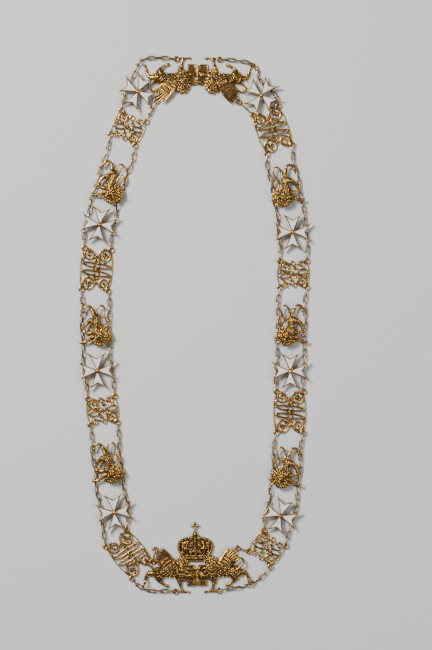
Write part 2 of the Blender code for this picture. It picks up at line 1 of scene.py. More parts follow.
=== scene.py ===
"""Order collar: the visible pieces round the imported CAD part.

Two strands of gilt links carry enamelled crosses, openwork scroll links and crowned lions. They
close in a front piece and a back piece of paired winged lions. Each piece is built where the CAD
part has it, so the layout below repeats the part's own values. Lengths are in metres, unless a
comment says that they are in hundredths or shares of a size.
"""
import math
import random
from collections import namedtuple
from types import SimpleNamespace

import bmesh
import bpy
from bpy.props import FloatProperty, FloatVectorProperty, PointerProperty
from bpy.types import Operator, Panel, PropertyGroup, Scene
from mathutils import Matrix, Vector


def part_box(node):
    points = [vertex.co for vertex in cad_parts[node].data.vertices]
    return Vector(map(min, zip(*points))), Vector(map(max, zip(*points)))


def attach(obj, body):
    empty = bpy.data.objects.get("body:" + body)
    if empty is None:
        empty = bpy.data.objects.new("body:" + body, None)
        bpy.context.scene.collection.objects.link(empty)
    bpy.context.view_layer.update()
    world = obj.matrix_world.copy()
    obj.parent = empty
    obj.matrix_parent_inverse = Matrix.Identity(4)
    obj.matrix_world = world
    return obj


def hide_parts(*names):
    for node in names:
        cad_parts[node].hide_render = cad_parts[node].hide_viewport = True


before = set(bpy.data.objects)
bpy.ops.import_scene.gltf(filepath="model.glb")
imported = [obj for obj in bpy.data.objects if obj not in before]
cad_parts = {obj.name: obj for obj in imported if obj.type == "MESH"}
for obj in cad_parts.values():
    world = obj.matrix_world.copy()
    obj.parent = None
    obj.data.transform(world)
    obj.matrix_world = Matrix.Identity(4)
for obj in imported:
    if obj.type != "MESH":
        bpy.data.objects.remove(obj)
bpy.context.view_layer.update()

bl_info = {
    "name": "Order Collar",
    "version": (1, 0, 0),
    "blender": (4, 5, 0),
    "location": "3D View > Sidebar > Collar",
    "description": "Builds the chains, crosses, scroll links and lions of an order collar",
    "category": "Object",
}


def table(columns, *rows):
    """Rows of a table whose columns are named."""
    row_type = namedtuple("Row", columns)
    return [row_type(*row) for row in rows]


# Levels and gauge of the CAD part
TOUCH = 0.0003
LINK_WIDTH = 0.0044
STRAND_MID = LINK_WIDTH / 2
UPPER_BACK = LINK_WIDTH + TOUCH
HALF_GAUGE = 0.0135

# Cross
CROSS_REACH = 0.0183
CROSS_TIP_HALF = 0.0095
CROSS_NOTCH = 0.0125
CROSS_WAIST = 0.0022

# Scroll link
LONG_SCROLL = 0.0460
SHORT_SCROLL = 0.0310
EYE_RADIUS = 0.0023
EYE_WIRE = 0.0009
SCROLL_BULGE = 0.0020

# Lions, arrows and crown
LION_LENGTH = 0.0440
WINGED_REACH = 0.0540
BOOK_THICK = 0.0028
GROUND_SHIFT = 0.2685185 * WINGED_REACH
BUNDLE_HEIGHT = 0.0190
BUNDLE_BASE = 0.0075
BUNDLE_WIDTH = 0.0100
CROWN_WIDTH = 0.0360
CROWN_BASE = 0.573 * WINGED_REACH
CROWN_SHIFT = 0.0010
CROWN_CAP_RISE = 0.0032
ORB_RADIUS = 0.0030
ORB_LIFT = 0.0026

# The middle line of the collar, clockwise from the back piece, in hundredths of its length
ROUTE = (
    (0.6, 49.5), (8.0, 48.7), (13.1, 45.0), (15.4, 38.3), (18.0, 27.0), (19.4, 17.8), (19.5, 9.6),
    (19.1, -0.8), (18.9, -9.8), (18.8, -18.0), (18.1, -29.1), (16.9, -38.5), (13.6, -45.7),
    (8.0, -49.3), (0.3, -50.5), (-7.3, -49.5), (-13.1, -45.7), (-15.8, -37.6), (-17.3, -27.7),
    (-18.3, -17.2), (-19.2, -9.3), (-19.6, -0.4), (-19.5, 11.0), (-18.7, 19.8), (-16.5, 28.1),
    (-13.0, 39.2), (-10.7, 46.4), (-5.9, 48.9),
)

# Eyes of a winged lion, in hundredths of its reach: outwards, and inwards from its ground line
OUTER_EYE = (40, 2)
INNER_EYE = (76, 80)

# Room along the strands on each side of a piece's middle
HALF_LENGTH = {
    "group": 0.78 * WINGED_REACH,
    "cross": CROSS_REACH,
    "long": LONG_SCROLL / 2,
    "short": SHORT_SCROLL / 2,
    "lion": LION_LENGTH / 2,
}
SCROLL_LENGTH = {"long": LONG_SCROLL, "short": SHORT_SCROLL}
# Start of the name of each kind of piece's CAD node
PREFIX = {"cross": "cross_mount_", "lion": "crowned_lion_", "long": "scroll_link_",
          "short": "scroll_link_"}

# Pieces in order from the back piece: kind, chain shown before it, and how far it leans
RIGHT_SIDE = table(
    "kind gap lean",
    ("cross", 0.0102, 18.0), ("long", -0.0055, 5.0), ("lion", 0.0135, -1.0),
    ("cross", 0.0058, -5.0), ("short", 0.0076, 1.0), ("lion", 0.0145, 2.0),
    ("cross", 0.0047, 1.0), ("long", -0.0003, 2.0), ("lion", 0.0111, 1.0),
    ("cross", 0.0072, -4.0), ("short", 0.0022, -3.0),
)
LEFT_SIDE = table(
    "kind gap lean",
    ("cross", 0.0052, -1.0), ("short", 0.0030, -7.0), ("lion", 0.0205, 2.0),
    ("cross", 0.0027, 1.0), ("long", 0.0033, -2.0), ("lion", 0.0120, 1.0),
    ("cross", 0.0041, -2.0), ("short", 0.0061, 0.0), ("lion", 0.0157, -1.0),
    ("cross", 0.0085, -7.0), ("long", 0.0034, 3.0),
)
FRONT_GAP_RIGHT = 0.0212
FRONT_GAP_LEFT = 0.0092
# Half the length of route that a heading is taken over, and steps between two points of the route
# and of a strand
HEADING_REACH = 0.004
ROUTE_STEPS = 16
STRAND_STEPS = 8

# Where an outer strand leaves the usual gauge: share of the run, and offset in half gauges
BACK_RIGHT_SWING = table(
    "share gauges", (0.10, 1.12), (0.42, 1.42), (0.56, 0.75), (0.70, 0.68), (0.84, 1.00))
BACK_LEFT_SWING = table(
    "share gauges", (0.12, 1.30), (0.38, 1.68), (0.50, 1.12), (0.64, 0.95), (0.84, 0.85))
FRONT_RIGHT_SWING = table("share gauges", (0.20, 1.24), (0.40, 1.30), (0.65, 1.20), (0.88, 1.08))
FRONT_LEFT_SWING = table("share gauges", (0.16, 1.52), (0.50, 1.40), (0.85, 1.12))
# Sway of the other strands, and the length in which it comes back
SWAY = 0.0008
SWAY_LENGTH = 0.031


def lerp(a, b, share):
    """The point a share of the way from one point to another."""
    return tuple(p + (q - p) * share for p, q in zip(a, b))


def smooth(points, steps, closed=False):
    """Points on a Catmull-Rom curve through the given points, of any number of values each."""
    count = len(points)
    spans = count if closed else count - 1
    path = []
    for i in range(spans):
        if closed:
            p0, p1, p2, p3 = (points[(i + k) % count] for k in (-1, 0, 1, 2))
        else:
            p0, p1, p2, p3 = (points[min(max(i + k, 0), count - 1)] for k in (-1, 0, 1, 2))
        for k in range(steps):
            t = k / steps
            path.append(tuple(
                0.5 * (2 * b + (c - a) * t + (2 * a - 5 * b + 4 * c - d) * t * t
                       + (3 * b - a - 3 * c + d) * t ** 3)
                for a, b, c, d in zip(p0, p1, p2, p3)))
    if not closed:
        path.append(tuple(points[-1]))
    return path


def lengths(path):
    """Distance from the start of a path to each of its points."""
    total = [0.0]
    for a, b in zip(path, path[1:]):
        total.append(total[-1] + math.dist(a, b))
    return total


def point_at(path, total, distance):
    """The point a distance along a path, whose lengths are given."""
    distance = min(max(distance, 0.0), total[-1])
    for i in range(len(total) - 1):
        if distance <= total[i + 1]:
            share = (distance - total[i]) / max(total[i + 1] - total[i], 1e-9)
            return lerp(path[i], path[i + 1], share)
    return path[-1]


class Loop:
    """The middle line of the collar, scaled until its length is what the pieces need."""

    def __init__(self, length):
        path = smooth(ROUTE, ROUTE_STEPS, closed=True)
        path.append(path[0])
        size = length / lengths(path)[-1]
        self.path = [(x * size, y * size) for x, y in path]
        self.total = lengths(self.path)
        self.length = length

    def point(self, station, offset=0.0):
        """A point offset outwards from the line, at a station clockwise from the back piece."""
        x, y = point_at(self.path, self.total, station % self.length)
        turn = math.radians(self.heading(station))
        return Vector((x - math.sin(turn) * offset, y + math.cos(turn) * offset))

    def heading(self, station):
        """Direction of travel at a station, in degrees."""
        before, after = (point_at(self.path, self.total, (station + way) % self.length)
                         for way in (-HEADING_REACH, HEADING_REACH))
        return math.degrees(math.atan2(after[1] - before[1], after[0] - before[0]))


def stations(side):
    """Distance of each piece of a side from the middle of the back piece, and the side's end."""
    places = []
    here = HALF_LENGTH["group"]
    for kind, gap, lean in side:
        here += gap + HALF_LENGTH[kind]
        places.append((kind, here, lean))
        here += HALF_LENGTH[kind]
    return places, here


class Seat:
    """Place and turn of one piece, the hand of its shape and what kind it is."""

    def __init__(self, centre, turn, hand, kind=None):
        self.centre = centre
        self.turn = turn
        self.hand = hand
        self.kind = kind

    def world(self, x, y):
        """A point of the piece in the collar's frame."""
        spot = self.centre + Matrix.Rotation(math.radians(self.turn), 2) @ Vector((x * self.hand, y))
        return spot.x, spot.y

    def matrix(self, height, mirrored):
        """Moves a mesh made at the origin to this place, mirrored for a left hand's shape."""
        place = Matrix.Translation((*self.centre, height))
        place @= Matrix.Rotation(math.radians(self.turn), 4, "Z")
        return place @ Matrix.Diagonal((self.hand if mirrored else 1, 1, 1, 1))


def strand(loop, start, end, between, side, swing):
    """Middle line of one strand between two eyes: side is +1 for the outer strand."""
    first, last = between
    middle = []
    if swing is not None:
        for share, gauges in swing:
            middle.append(tuple(loop.point(first + (last - first) * share, side * gauges * HALF_GAUGE)))
    else:
        count = max(int(abs(last - first) / (SWAY_LENGTH / 2)), 1)
        for i in range(1, count):
            sway = SWAY * (-1) ** i * side
            middle.append(tuple(loop.point(first + (last - first) * i / count,
                                           side * (HALF_GAUGE + sway))))
    return smooth([start, *middle, end], STRAND_STEPS)


class Collar:
    """Where every piece and every strand lies."""

    def __init__(self):
        self.seats = {}
        self.strands = {}
        right, right_end = stations(RIGHT_SIDE)
        left, left_end = stations(LEFT_SIDE)
        front = right_end + FRONT_GAP_RIGHT + HALF_LENGTH["group"]
        self.loop = Loop(front + left_end + FRONT_GAP_LEFT + HALF_LENGTH["group"])
        self.seat_ends({"back": 0.0, "front": front})
        self.run_side(1, "right", right, (BACK_RIGHT_SWING, FRONT_RIGHT_SWING), front)
        self.run_side(-1, "left", left, (BACK_LEFT_SWING, FRONT_LEFT_SWING), front - self.loop.length)
        self.shift_to_frame()

    def seat_ends(self, middles):
        """Winged lions, arrow bundles and the crown."""
        for end, station in middles.items():
            centre = self.loop.point(station, GROUND_SHIFT)
            turn = self.loop.heading(station) + 180
            for hand, side in ((1, "right"), (-1, "left")):
                across = -hand if end == "back" else hand
                self.seats[f"winged_lion_{end}_{side}"] = Seat(centre, turn, across)
            self.seats[f"arrow_bundle_{end}"] = Seat(centre, turn, 1)
        way = Matrix.Rotation(math.radians(turn), 2) @ Vector((-CROWN_SHIFT, CROWN_BASE))
        self.seats["crown"] = Seat(centre + way, turn, 1)

    def of(self, prefix):
        """Label and seat of each piece whose name starts with a prefix."""
        return [(name.removeprefix(prefix), seat) for name, seat in self.seats.items()
                if name.startswith(prefix)]

    def eye(self, end, side, eye):
        """Place of a winged lion's eye."""
        x, y = (value * WINGED_REACH / 100 for value in eye)
        return self.seats[f"winged_lion_{end}_{side}"].world(x, y)

    def run_side(self, hand, side, places, swings, last_station):
        """Crosses, lions, scroll links and strands of one side, from the back to the front."""
        counts = dict.fromkeys(PREFIX.values(), 0)
        eyes = {1: OUTER_EYE, -1: INNER_EYE}
        words = {1: "outer", -1: "inner"}
        ends = {row: self.eye("back", side, eyes[row]) for row in eyes}
        froms = {row: hand * eyes[row][0] * WINGED_REACH / 100 for row in eyes}
        for kind, distance, lean in places:
            counts[PREFIX[kind]] += 1
            label = f"{side}_{counts[PREFIX[kind]]}"
            station = hand * distance
            turn = self.loop.heading(station) + hand * 90 + lean
            seat = Seat(self.loop.point(station), turn, hand, kind)
            self.seats[PREFIX[kind] + label] = seat
            if kind not in SCROLL_LENGTH:
                continue
            eye_y = HALF_LENGTH[kind] - EYE_RADIUS
            for row, word in words.items():
                swing = None
                if label == f"{side}_1":
                    swing = swings[0] if row > 0 else ()
                between = (froms[row], hand * (distance - eye_y))
                near = seat.world(row * HALF_GAUGE, eye_y)
                self.strands[f"chain_{label}_{word}"] = strand(
                    self.loop, ends[row], near, between, row, swing)
                ends[row] = seat.world(row * HALF_GAUGE, -eye_y)
                froms[row] = hand * (distance + eye_y)
        for row, word in words.items():
            between = (froms[row], last_station - hand * eyes[row][0] * WINGED_REACH / 100)
            self.strands[f"chain_{side}_5_{word}"] = strand(
                self.loop, ends[row], self.eye("front", side, eyes[row]), between, row,
                swings[1] if row > 0 else ())

    def shift_to_frame(self):
        """Moves the layout to where the CAD part was centred, as its crosses show."""
        shifts = []
        for name in ("cross_mount_right_1", "cross_mount_left_3"):
            low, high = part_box(name)
            shifts.append(((low + high) / 2).xy - self.seats[name].centre)
        if (shifts[0] - shifts[1]).length > TOUCH:
            raise RuntimeError("the layout isn't the CAD part's: repeat part.py's values here")
        for seat in self.seats.values():
            seat.centre = seat.centre + shifts[0]
        for name, path in self.strands.items():
            self.strands[name] = [(x + shifts[0].x, y + shifts[0].y) for x, y in path]


COLLAR = Collar()


def to_mesh(bm, name):
    """A mesh made from a bmesh, which is freed."""
    mesh = bpy.data.meshes.new(name)
    bm.to_mesh(mesh)
    bm.free()
    return mesh


def modified(bm, kind, **settings):
    """A bmesh after one modifier, in place of the one given, which is freed."""
    mesh = to_mesh(bm, "before")
    holder = bpy.data.objects.new("holder", mesh)
    bpy.context.scene.collection.objects.link(holder)
    step = holder.modifiers.new("step", kind)
    for key, value in settings.items():
        setattr(step, key, value)
    graph = bpy.context.evaluated_depsgraph_get()
    result = bpy.data.meshes.new_from_object(holder.evaluated_get(graph),
                                             preserve_all_data_layers=True, depsgraph=graph)
    after = bmesh.new()
    after.from_mesh(result)
    bpy.data.objects.remove(holder)
    for known in (mesh, result):
        bpy.data.meshes.remove(known)
    return after


# Share of a casting's faces that is kept, fewer where it is even
KEPT_FACES = 0.58
# Relief attributes: passes of evening, and what counts as full, in shares of the relief's depth
RELIEF_LAYERS = table("name passes scale", ("relief", 6, 0.3), ("depth", 40, 1.0))
# The broad one is lower near the back, which paints shade where the casting nears the floor: by
# how much, and up to what share of the height
BACK_SHADE = 0.8
BACK_BAND = 0.3

# Forms that every casting uses, in shares of their own radius, wire, width or size.
# Round end of a bar: way past its last point, and radius there
ROUND_END = table("reach radius", (0.6, 0.8), (0.95, 0.3))
# Radius over which a lump has finer faces, and points round an oval
FINE_LUMP = 5
OVAL_POINTS = 20
# Curl: points in a turn, more where its radius is many wires, how far it winds in, rises and thins
CURL_POINTS = 8
WIDE_CURL_POINTS = 14
WIDE_CURL = 3.2
CURL_INWARDS = 0.82
CURL_RISE = 0.9
CURL_THINNING = 0.25
# Curls over a mane: turns, and the share of its radii past which none lies lower
MANE_TURNS = 1.25
MANE_EDGE = 0.94
# Locks round a mane: bend to either side, range of lengths, and fall of the tip
FRINGE_BEND = 55
FRINGE_LENGTHS = (0.75, 1.2)
FRINGE_DROP = 0.2
# Lock: pieces, rise of its middle, and how and how fast it thins
LOCK_STEPS = 4
LOCK_RISE = 0.5
LOCK_THINNING = 0.8
LOCK_POWER = 1.4
# Tufts of fur: shift of every second row, range of heading and bend, and depth in the limb
FUR_SHIFT = 15
FUR_TURN = 22
FUR_BEND = 50
FUR_SINK = 0.3
# Paw: pad, toes, spread of the toes in radians, their reach and their drop
PAW_PAD = (1.1, 1.0, 1.0)
TOE = (0.75, 0.36, 0.7)
TOE_SPREAD = 0.55
TOE_REACH = 1.15
TOE_DROP = 0.1


def ring_frames(path, flat):
    """Placement of a unit ring at each point of x, y, z and radius, without twist.

    Flat is the rings' height as a share of their width.
    """
    frames = []
    turn = before = None
    last = len(path) - 1
    for i, (x, y, z, radius) in enumerate(path):
        ahead = Vector(path[min(i + 1, last)][:3]) - Vector(path[max(i - 1, 0)][:3])
        ahead.normalize()
        if turn is None:
            turn = ahead.to_track_quat("Z", "Y")
        else:
            turn = before.rotation_difference(ahead) @ turn
        before = ahead
        place = Matrix.Translation((x, y, z)) @ Matrix.Diagonal((1, 1, flat, 1))
        frames.append(place @ turn.to_matrix().to_4x4() @ Matrix.Scale(radius, 4))
    return frames


def rounded(path):
    """The path with two more points at each end, so that a bar along it ends round."""
    ends = []
    for here, inner in ((path[0], path[1]), (path[-1], path[-2])):
        tip = Vector(here[:3])
        way = (tip - Vector(inner[:3])).normalized() * here[3]
        ends.append([(*(tip + way * reach), here[3] * radius) for reach, radius in ROUND_END])
    return [*reversed(ends[0]), *path, *ends[1]]


def extruded(bm, rim):
    """The vertices and edges of a loop of edges after it is extruded where it is."""
    new = bmesh.ops.extrude_edge_only(bm, edges=rim)["geom"]
    verts = {item for item in new if isinstance(item, bmesh.types.BMVert)}
    edges = [item for item in new
             if isinstance(item, bmesh.types.BMEdge) and verts.issuperset(item.verts)]
    return list(verts), edges


def bar_bmesh(path, sides, flat=1.0):
    """A closed round bar along points of x, y, z and radius."""
    frames = ring_frames(path, flat)
    part = bmesh.new()
    bmesh.ops.create_circle(part, cap_ends=True, segments=sides, radius=1.0, matrix=frames[0])
    rim = part.edges[:]
    for before, after in zip(frames, frames[1:]):
        verts, rim = extruded(part, rim)
        bmesh.ops.transform(part, matrix=after @ before.inverted(), verts=verts)
    bmesh.ops.edgeloop_fill(part, edges=rim)
    bmesh.ops.recalc_face_normals(part, faces=part.faces)
    return part


def turned_point(x, y, turn, across, along):
    """The point across and along from x and y, for a shape turned by some degrees."""
    spot = Matrix.Rotation(math.radians(turn), 2) @ Vector((across, along))
    return x + spot.x, y + spot.y


class Casting:
    """The bars, lumps and plates of one cast piece, in hundredths of its size, before fusing."""

    def __init__(self, size, seed=1):
        self.unit = size / 100
        self.bm = bmesh.new()
        self.dice = random.Random(seed)

    def take(self, part):
        """Adds a small closed bmesh, which is freed."""
        bmesh.ops.scale(part, vec=(self.unit,) * 3, verts=part.verts)
        mesh = to_mesh(part, "part")
        self.bm.from_mesh(mesh)
        bpy.data.meshes.remove(mesh)

    def bar(self, points, sides=8, flat=1.0, steps=3):
        """A bar with round ends on a smooth curve through points of x, y, z and radius."""
        self.take(bar_bmesh(rounded(smooth(points, steps)), sides, flat))

    def wire(self, points):
        """A thin bar that is straight from point to point."""
        self.bar(points, sides=6, steps=1)

    def limbs(self, rows):
        """Bars from a table of name, height and points of x, y, radius and sometimes a height."""
        for name, lift, points in rows:
            self.bar([(x, y, own[0] if own else lift, r) for x, y, r, *own in points], sides=16)

    def ring(self, x, y, z, radius, wire, sides=16):
        """A ring lying flat."""
        part = bmesh.new()
        matrix = Matrix.Translation((radius, 0, 0)) @ Matrix.Rotation(math.radians(90), 4, "X")
        bmesh.ops.create_circle(part, segments=8, radius=wire, matrix=matrix)
        bmesh.ops.spin(part, geom=part.edges[:], cent=(0, 0, 0), axis=(0, 0, 1), dvec=(0, 0, 0),
                       angle=math.tau, steps=sides, use_merge=True)
        bmesh.ops.recalc_face_normals(part, faces=part.faces)
        bmesh.ops.translate(part, vec=(x, y, z), verts=part.verts)
        self.take(part)

    def lump(self, x, y, z, radii, turn=0.0):
        """A round lump of three radii, turned about +Z."""
        part = bmesh.new()
        spot = Matrix.Translation((x, y, z)) @ Matrix.Rotation(math.radians(turn), 4, "Z")
        bmesh.ops.create_icosphere(part, subdivisions=3 if max(radii) > FINE_LUMP else 2,
                                   radius=1.0, matrix=spot @ Matrix.Diagonal((*radii, 1)))
        self.take(part)

    def bead(self, x, y, z, radius):
        """A round bead."""
        self.lump(x, y, z, (radius,) * 3)

    def beads(self, points, spacing, radius):
        """Beads along a curve through points of x, y and z."""
        path = smooth(points, 6)
        total = lengths(path)
        count = max(round(total[-1] / spacing), 1)
        for i in range(count + 1):
            self.bead(*point_at(path, total, total[-1] * i / count), radius)

    def block(self, x0, y0, x1, y1, z0, z1):
        """A square block between two corners."""
        part = bmesh.new()
        size = Matrix.Diagonal((x1 - x0, y1 - y0, z1 - z0, 1))
        spot = Matrix.Translation(((x0 + x1) / 2, (y0 + y1) / 2, (z0 + z1) / 2))
        bmesh.ops.create_cube(part, size=1.0, matrix=spot @ size)
        self.take(part)

    def curl(self, x, y, z, radius, wire, start, turns, hand=1):
        """A wire wound in to a raised middle."""
        points = []
        count = round(turns * (WIDE_CURL_POINTS if radius > WIDE_CURL * wire else CURL_POINTS))
        for i in range(count + 1):
            share = i / count
            angle = math.radians(start) + hand * math.tau * turns * share
            reach = radius * (1 - CURL_INWARDS * share)
            points.append((x + reach * math.cos(angle), y + reach * math.sin(angle),
                           z + CURL_RISE * wire * share, wire * (1 - CURL_THINNING * share)))
        self.wire(points)

    def oval(self, x, y, z, reach, rise, wire, turn):
        """A closed oval loop of wire, turned about +Z, whose last points lie over its first."""
        points = []
        for k in range(OVAL_POINTS + 3):
            angle = math.tau * k / OVAL_POINTS
            spot = turned_point(x, y, turn, reach * math.cos(angle), rise * math.sin(angle))
            points.append((*spot, z, wire))
        self.bar(points, steps=1)

    def curls(self, x, y, z, radii, wire, rows):
        """Curls in rings over a dome: rows of share of its radii, number and curl radius."""
        for share, count, reach in rows:
            height = z + radii[2] * math.sqrt(1 - min(share, MANE_EDGE) ** 2)
            for i in range(count):
                angle = math.tau * (i + share) / count
                self.curl(x + radii[0] * share * math.cos(angle),
                          y + radii[1] * share * math.sin(angle), height, reach, wire,
                          math.degrees(angle), MANE_TURNS, self.dice.choice((-1, 1)))

    def fringe(self, x, y, z, radii, count, length, width):
        """Pointed locks round the edge of a dome."""
        for i in range(count):
            angle = math.tau * i / count
            bend = FRINGE_BEND * (-1) ** i
            self.lock(x + radii[0] * math.cos(angle), y + radii[1] * math.sin(angle), z,
                      math.degrees(angle) - bend / 2, length * self.dice.uniform(*FRINGE_LENGTHS),
                      width, bend, drop=FRINGE_DROP * z)

    def lock(self, x, y, z, heading, length, width, bend, drop=0.0):
        """A lock of hair that rises from its root, bends aside and thins to its tip."""
        points = []
        angle = math.radians(heading)
        for i in range(LOCK_STEPS + 1):
            share = i / LOCK_STEPS
            rise = LOCK_RISE * width * math.sin(math.pi * share) - drop * share
            points.append((x, y, z + rise, width * (1 - LOCK_THINNING * share ** LOCK_POWER)))
            x += length / LOCK_STEPS * math.cos(angle)
            y += length / LOCK_STEPS * math.sin(angle)
            angle += math.radians(bend) / LOCK_STEPS
        self.wire(points)

    def fur(self, points, spacing, slopes, lift, length, width):
        """Short tufts in rows over a limb of x, y and radius, pointing back along it."""
        path = smooth(points, 6)
        total = lengths([(x, y) for x, y, r in path])
        for i in range(int(total[-1] / spacing) + 1):
            x, y, r = point_at(path, total, min(i * spacing, total[-1]))
            ahead = point_at(path, total, min(i * spacing + 1, total[-1]))
            heading = math.atan2(ahead[1] - y, ahead[0] - x)
            for slope in slopes:
                lean = math.radians(slope + (FUR_SHIFT if i % 2 else 0))
                side = math.sin(lean) * r
                height = lift + math.cos(math.radians(slope)) * r - FUR_SINK * width
                aim = math.degrees(heading) + self.dice.uniform(-FUR_TURN, FUR_TURN)
                self.lock(x - side * math.sin(heading), y + side * math.cos(heading), height, aim,
                          length, width, self.dice.uniform(-FUR_BEND, FUR_BEND))

    def paw(self, x, y, z, heading, size):
        """A paw of a broad pad and three toes."""
        self.lump(x, y, z, [part * size for part in PAW_PAD], heading)
        for side in (-1, 0, 1):
            aim = math.radians(heading) + TOE_SPREAD * side
            self.lump(x + size * TOE_REACH * math.cos(aim), y + size * TOE_REACH * math.sin(aim),
                      z - TOE_DROP * size, [part * size for part in TOE], math.degrees(aim))

    def fuse(self, name, voxel, relief, top):
        """One closed skin over all the parts, flat behind and as high as its CAD node."""
        bm = modified(self.bm, "REMESH", mode="VOXEL", voxel_size=voxel)
        soften(bm, 1)
        bmesh.ops.scale(bm, vec=(1, 1, 0), verts=[vert for vert in bm.verts if vert.co.z < 0])
        fit = top / max(vert.co.z for vert in bm.verts)
        bmesh.ops.scale(bm, vec=(1, 1, fit), verts=bm.verts)
        note_relief(bm, relief)
        bm = modified(bm, "DECIMATE", ratio=KEPT_FACES)
        bmesh.ops.dissolve_degenerate(bm, dist=voxel / 50, edges=bm.edges)
        bmesh.ops.triangulate(bm, faces=bm.faces)
        return to_mesh(bm, name)


def node_height(node):
    """Height of a CAD node."""
    low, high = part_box(node)
    return high.z - low.z


def soften(bm, passes):
    """Evens a surface."""
    for _ in range(passes):
        bmesh.ops.smooth_vert(bm, verts=bm.verts, factor=0.5, use_axis_x=True, use_axis_y=True,
                              use_axis_z=True)


def note_relief(bm, depth):
    """Writes each point's height over its smoothed surroundings to the relief attributes.

    The fine one tells edges from creases. The broad one tells what stands out from hollows, and
    is lower near the back, so that the gilding's colour paints shade near the floor.
    """
    even = bm.copy()
    done = 0
    top = max(vert.co.z for vert in bm.verts)
    bm.normal_update()
    for name, passes, scale in RELIEF_LAYERS:
        soften(even, passes - done)
        done = passes
        layer = bm.verts.layers.float.new(name)
        for vert, low in zip(bm.verts, even.verts):
            rise = (vert.co - low.co).dot(vert.normal) / (depth * scale)
            # Painted shade: the broad layer is lower near the back, close to the floor
            if name == "depth":
                rise -= BACK_SHADE * max(0.0, 1 - vert.co.z / (BACK_BAND * top))
            vert[layer] = min(max(rise, -1.0), 1.0)
    even.free()


def placed(mesh, matrix):
    """A copy of a mesh in its place, turned the right way out again if it was mirrored."""
    copy = mesh.copy()
    copy.transform(matrix)
    if matrix.determinant() < 0:
        copy.flip_normals()
    return copy


def show(name, mesh, skin, slot, *nodes, sharp=None):
    """Makes a finished piece, which stands for CAD nodes."""
    mesh.name = name
    mesh.materials.clear()
    mesh.materials.append(skin)
    mesh.shade_smooth()
    if sharp:
        mesh.set_sharp_from_angle(angle=math.radians(sharp))
    piece = bpy.data.objects.new(name, mesh)
    bpy.context.scene.collection.objects.link(piece)
    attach(piece, "root")
    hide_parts(*nodes)


def show_casting(name, shape, matrix, node):
    """Makes a gilt piece from a copy of a shape in its place."""
    show(name, placed(shape, matrix), gilt(), "antique_gilt", node)


class Shader:
    """A node tree that is written as a list of nodes and the values of their sockets."""

    def __init__(self, tree):
        self.tree = tree

    def node(self, kind, inputs=None, **settings):
        """A node: an input is a plain value or another node's output socket."""
        node = self.tree.nodes.new(kind)
        for key, value in settings.items():
            setattr(node, key, value)
        for key, value in (inputs or {}).items():
            if isinstance(value, bpy.types.NodeSocket):
                self.tree.links.new(value, node.inputs[key])
            else:
                node.inputs[key].default_value = value
        return node

    def math(self, operation, a, b, clamp=False):
        """The result of a Math node."""
        return self.node("ShaderNodeMath", {0: a, 1: b}, operation=operation,
                         use_clamp=clamp).outputs[0]

    def ramp(self, value, low, high, to_low=0.0, to_high=1.0):
        """A value mapped smoothly from one range to another."""
        return self.node("ShaderNodeMapRange", {0: value, 1: low, 2: high, 3: to_low, 4: to_high},
                         interpolation_type="SMOOTHSTEP").outputs[0]

    def weighed(self, *parts):
        """The sum of values times their weights."""
        terms = [self.math("MULTIPLY", value, weight) for value, weight in parts]
        total = terms[0]
        for term in terms[1:]:
            total = self.math("ADD", total, term)
        return total

    def blend(self, share, a, b):
        """A mix of two colours."""
        return self.node("ShaderNodeMix", {0: share, 6: a, 7: b}, data_type="RGBA").outputs[2]

    def noise(self, vector, scale, detail):
        """The value of a noise texture."""
        inputs = {"Vector": vector, "Scale": scale, "Detail": detail}
        return self.node("ShaderNodeTexNoise", inputs).outputs[0]

    def attribute(self, name):
        """The value of an attribute of the mesh."""
        return self.node("ShaderNodeAttribute", attribute_name=name).outputs["Fac"]

    def place(self):
        """Object coordinates."""
        return self.node("ShaderNodeTexCoord").outputs["Object"]


def group(name, inputs, outputs, fill):
    """A shader node group with named sockets, built once."""
    tree = bpy.data.node_groups.get(name)
    if tree:
        return tree
    tree = bpy.data.node_groups.new(name, "ShaderNodeTree")
    for direction, sockets in (("INPUT", inputs), ("OUTPUT", outputs)):
        for label, kind in sockets:
            tree.interface.new_socket(label, in_out=direction, socket_type=f"NodeSocket{kind}")
    shader = Shader(tree)
    start = shader.node("NodeGroupInput").outputs
    end = shader.node("NodeGroupOutput").inputs
    for label, socket in fill(shader, start).items():
        tree.links.new(socket, end[label])
    return tree


# Gilding: scales of its clouds and grain, weights of relief and clouds, and the ranges in which
# dirt with painted shade, rubbed metal with a painted highlight, and clear metal come in
CLOUD_SCALE = 260.0
GRAIN_SCALE = 1700.0
RELIEF_WEIGHT = 0.55
CLOUD_WEIGHT = 0.7
DIRT_AND_SHADE_RANGE = (0.30, -0.18)
RUBBED_AND_HIGHLIGHT_RANGE = (0.62, 1.05)
CLEAR_RANGE = (0.36, 0.66)
# How clouds, grain, dirt with painted shade and rubbing with a painted highlight add to its
# roughness, and how far the dirt and painted shade dull the metal
ROUGH_WEIGHTS = (0.18, 0.10, 0.30, -0.10)
DIRT_AND_SHADE_DULLS = 0.4
# Glaze: scales of its clouds and specks, their ranges, range of roughness, share of the painted
# rim shade, shade of its clouds, and colours of specks and of the painted rim shade
GLAZE_CLOUD_SCALE = 120.0
SPECK_SCALE = 900.0
SHADE_RANGE = (0.35, 0.65)
SPECK_RANGE = (0.66, 0.78)
GLAZE_ROUGHNESS = (0.3, 0.7, 0.12, 0.24)
RIM_SHADE_SHARE = 0.6
GLAZE_SHADE = 0.93
SPECK_COLOUR = (0.50, 0.48, 0.43, 1)
GLAZE_RIM_SHADE_COLOUR = (0.50, 0.46, 0.38, 1)


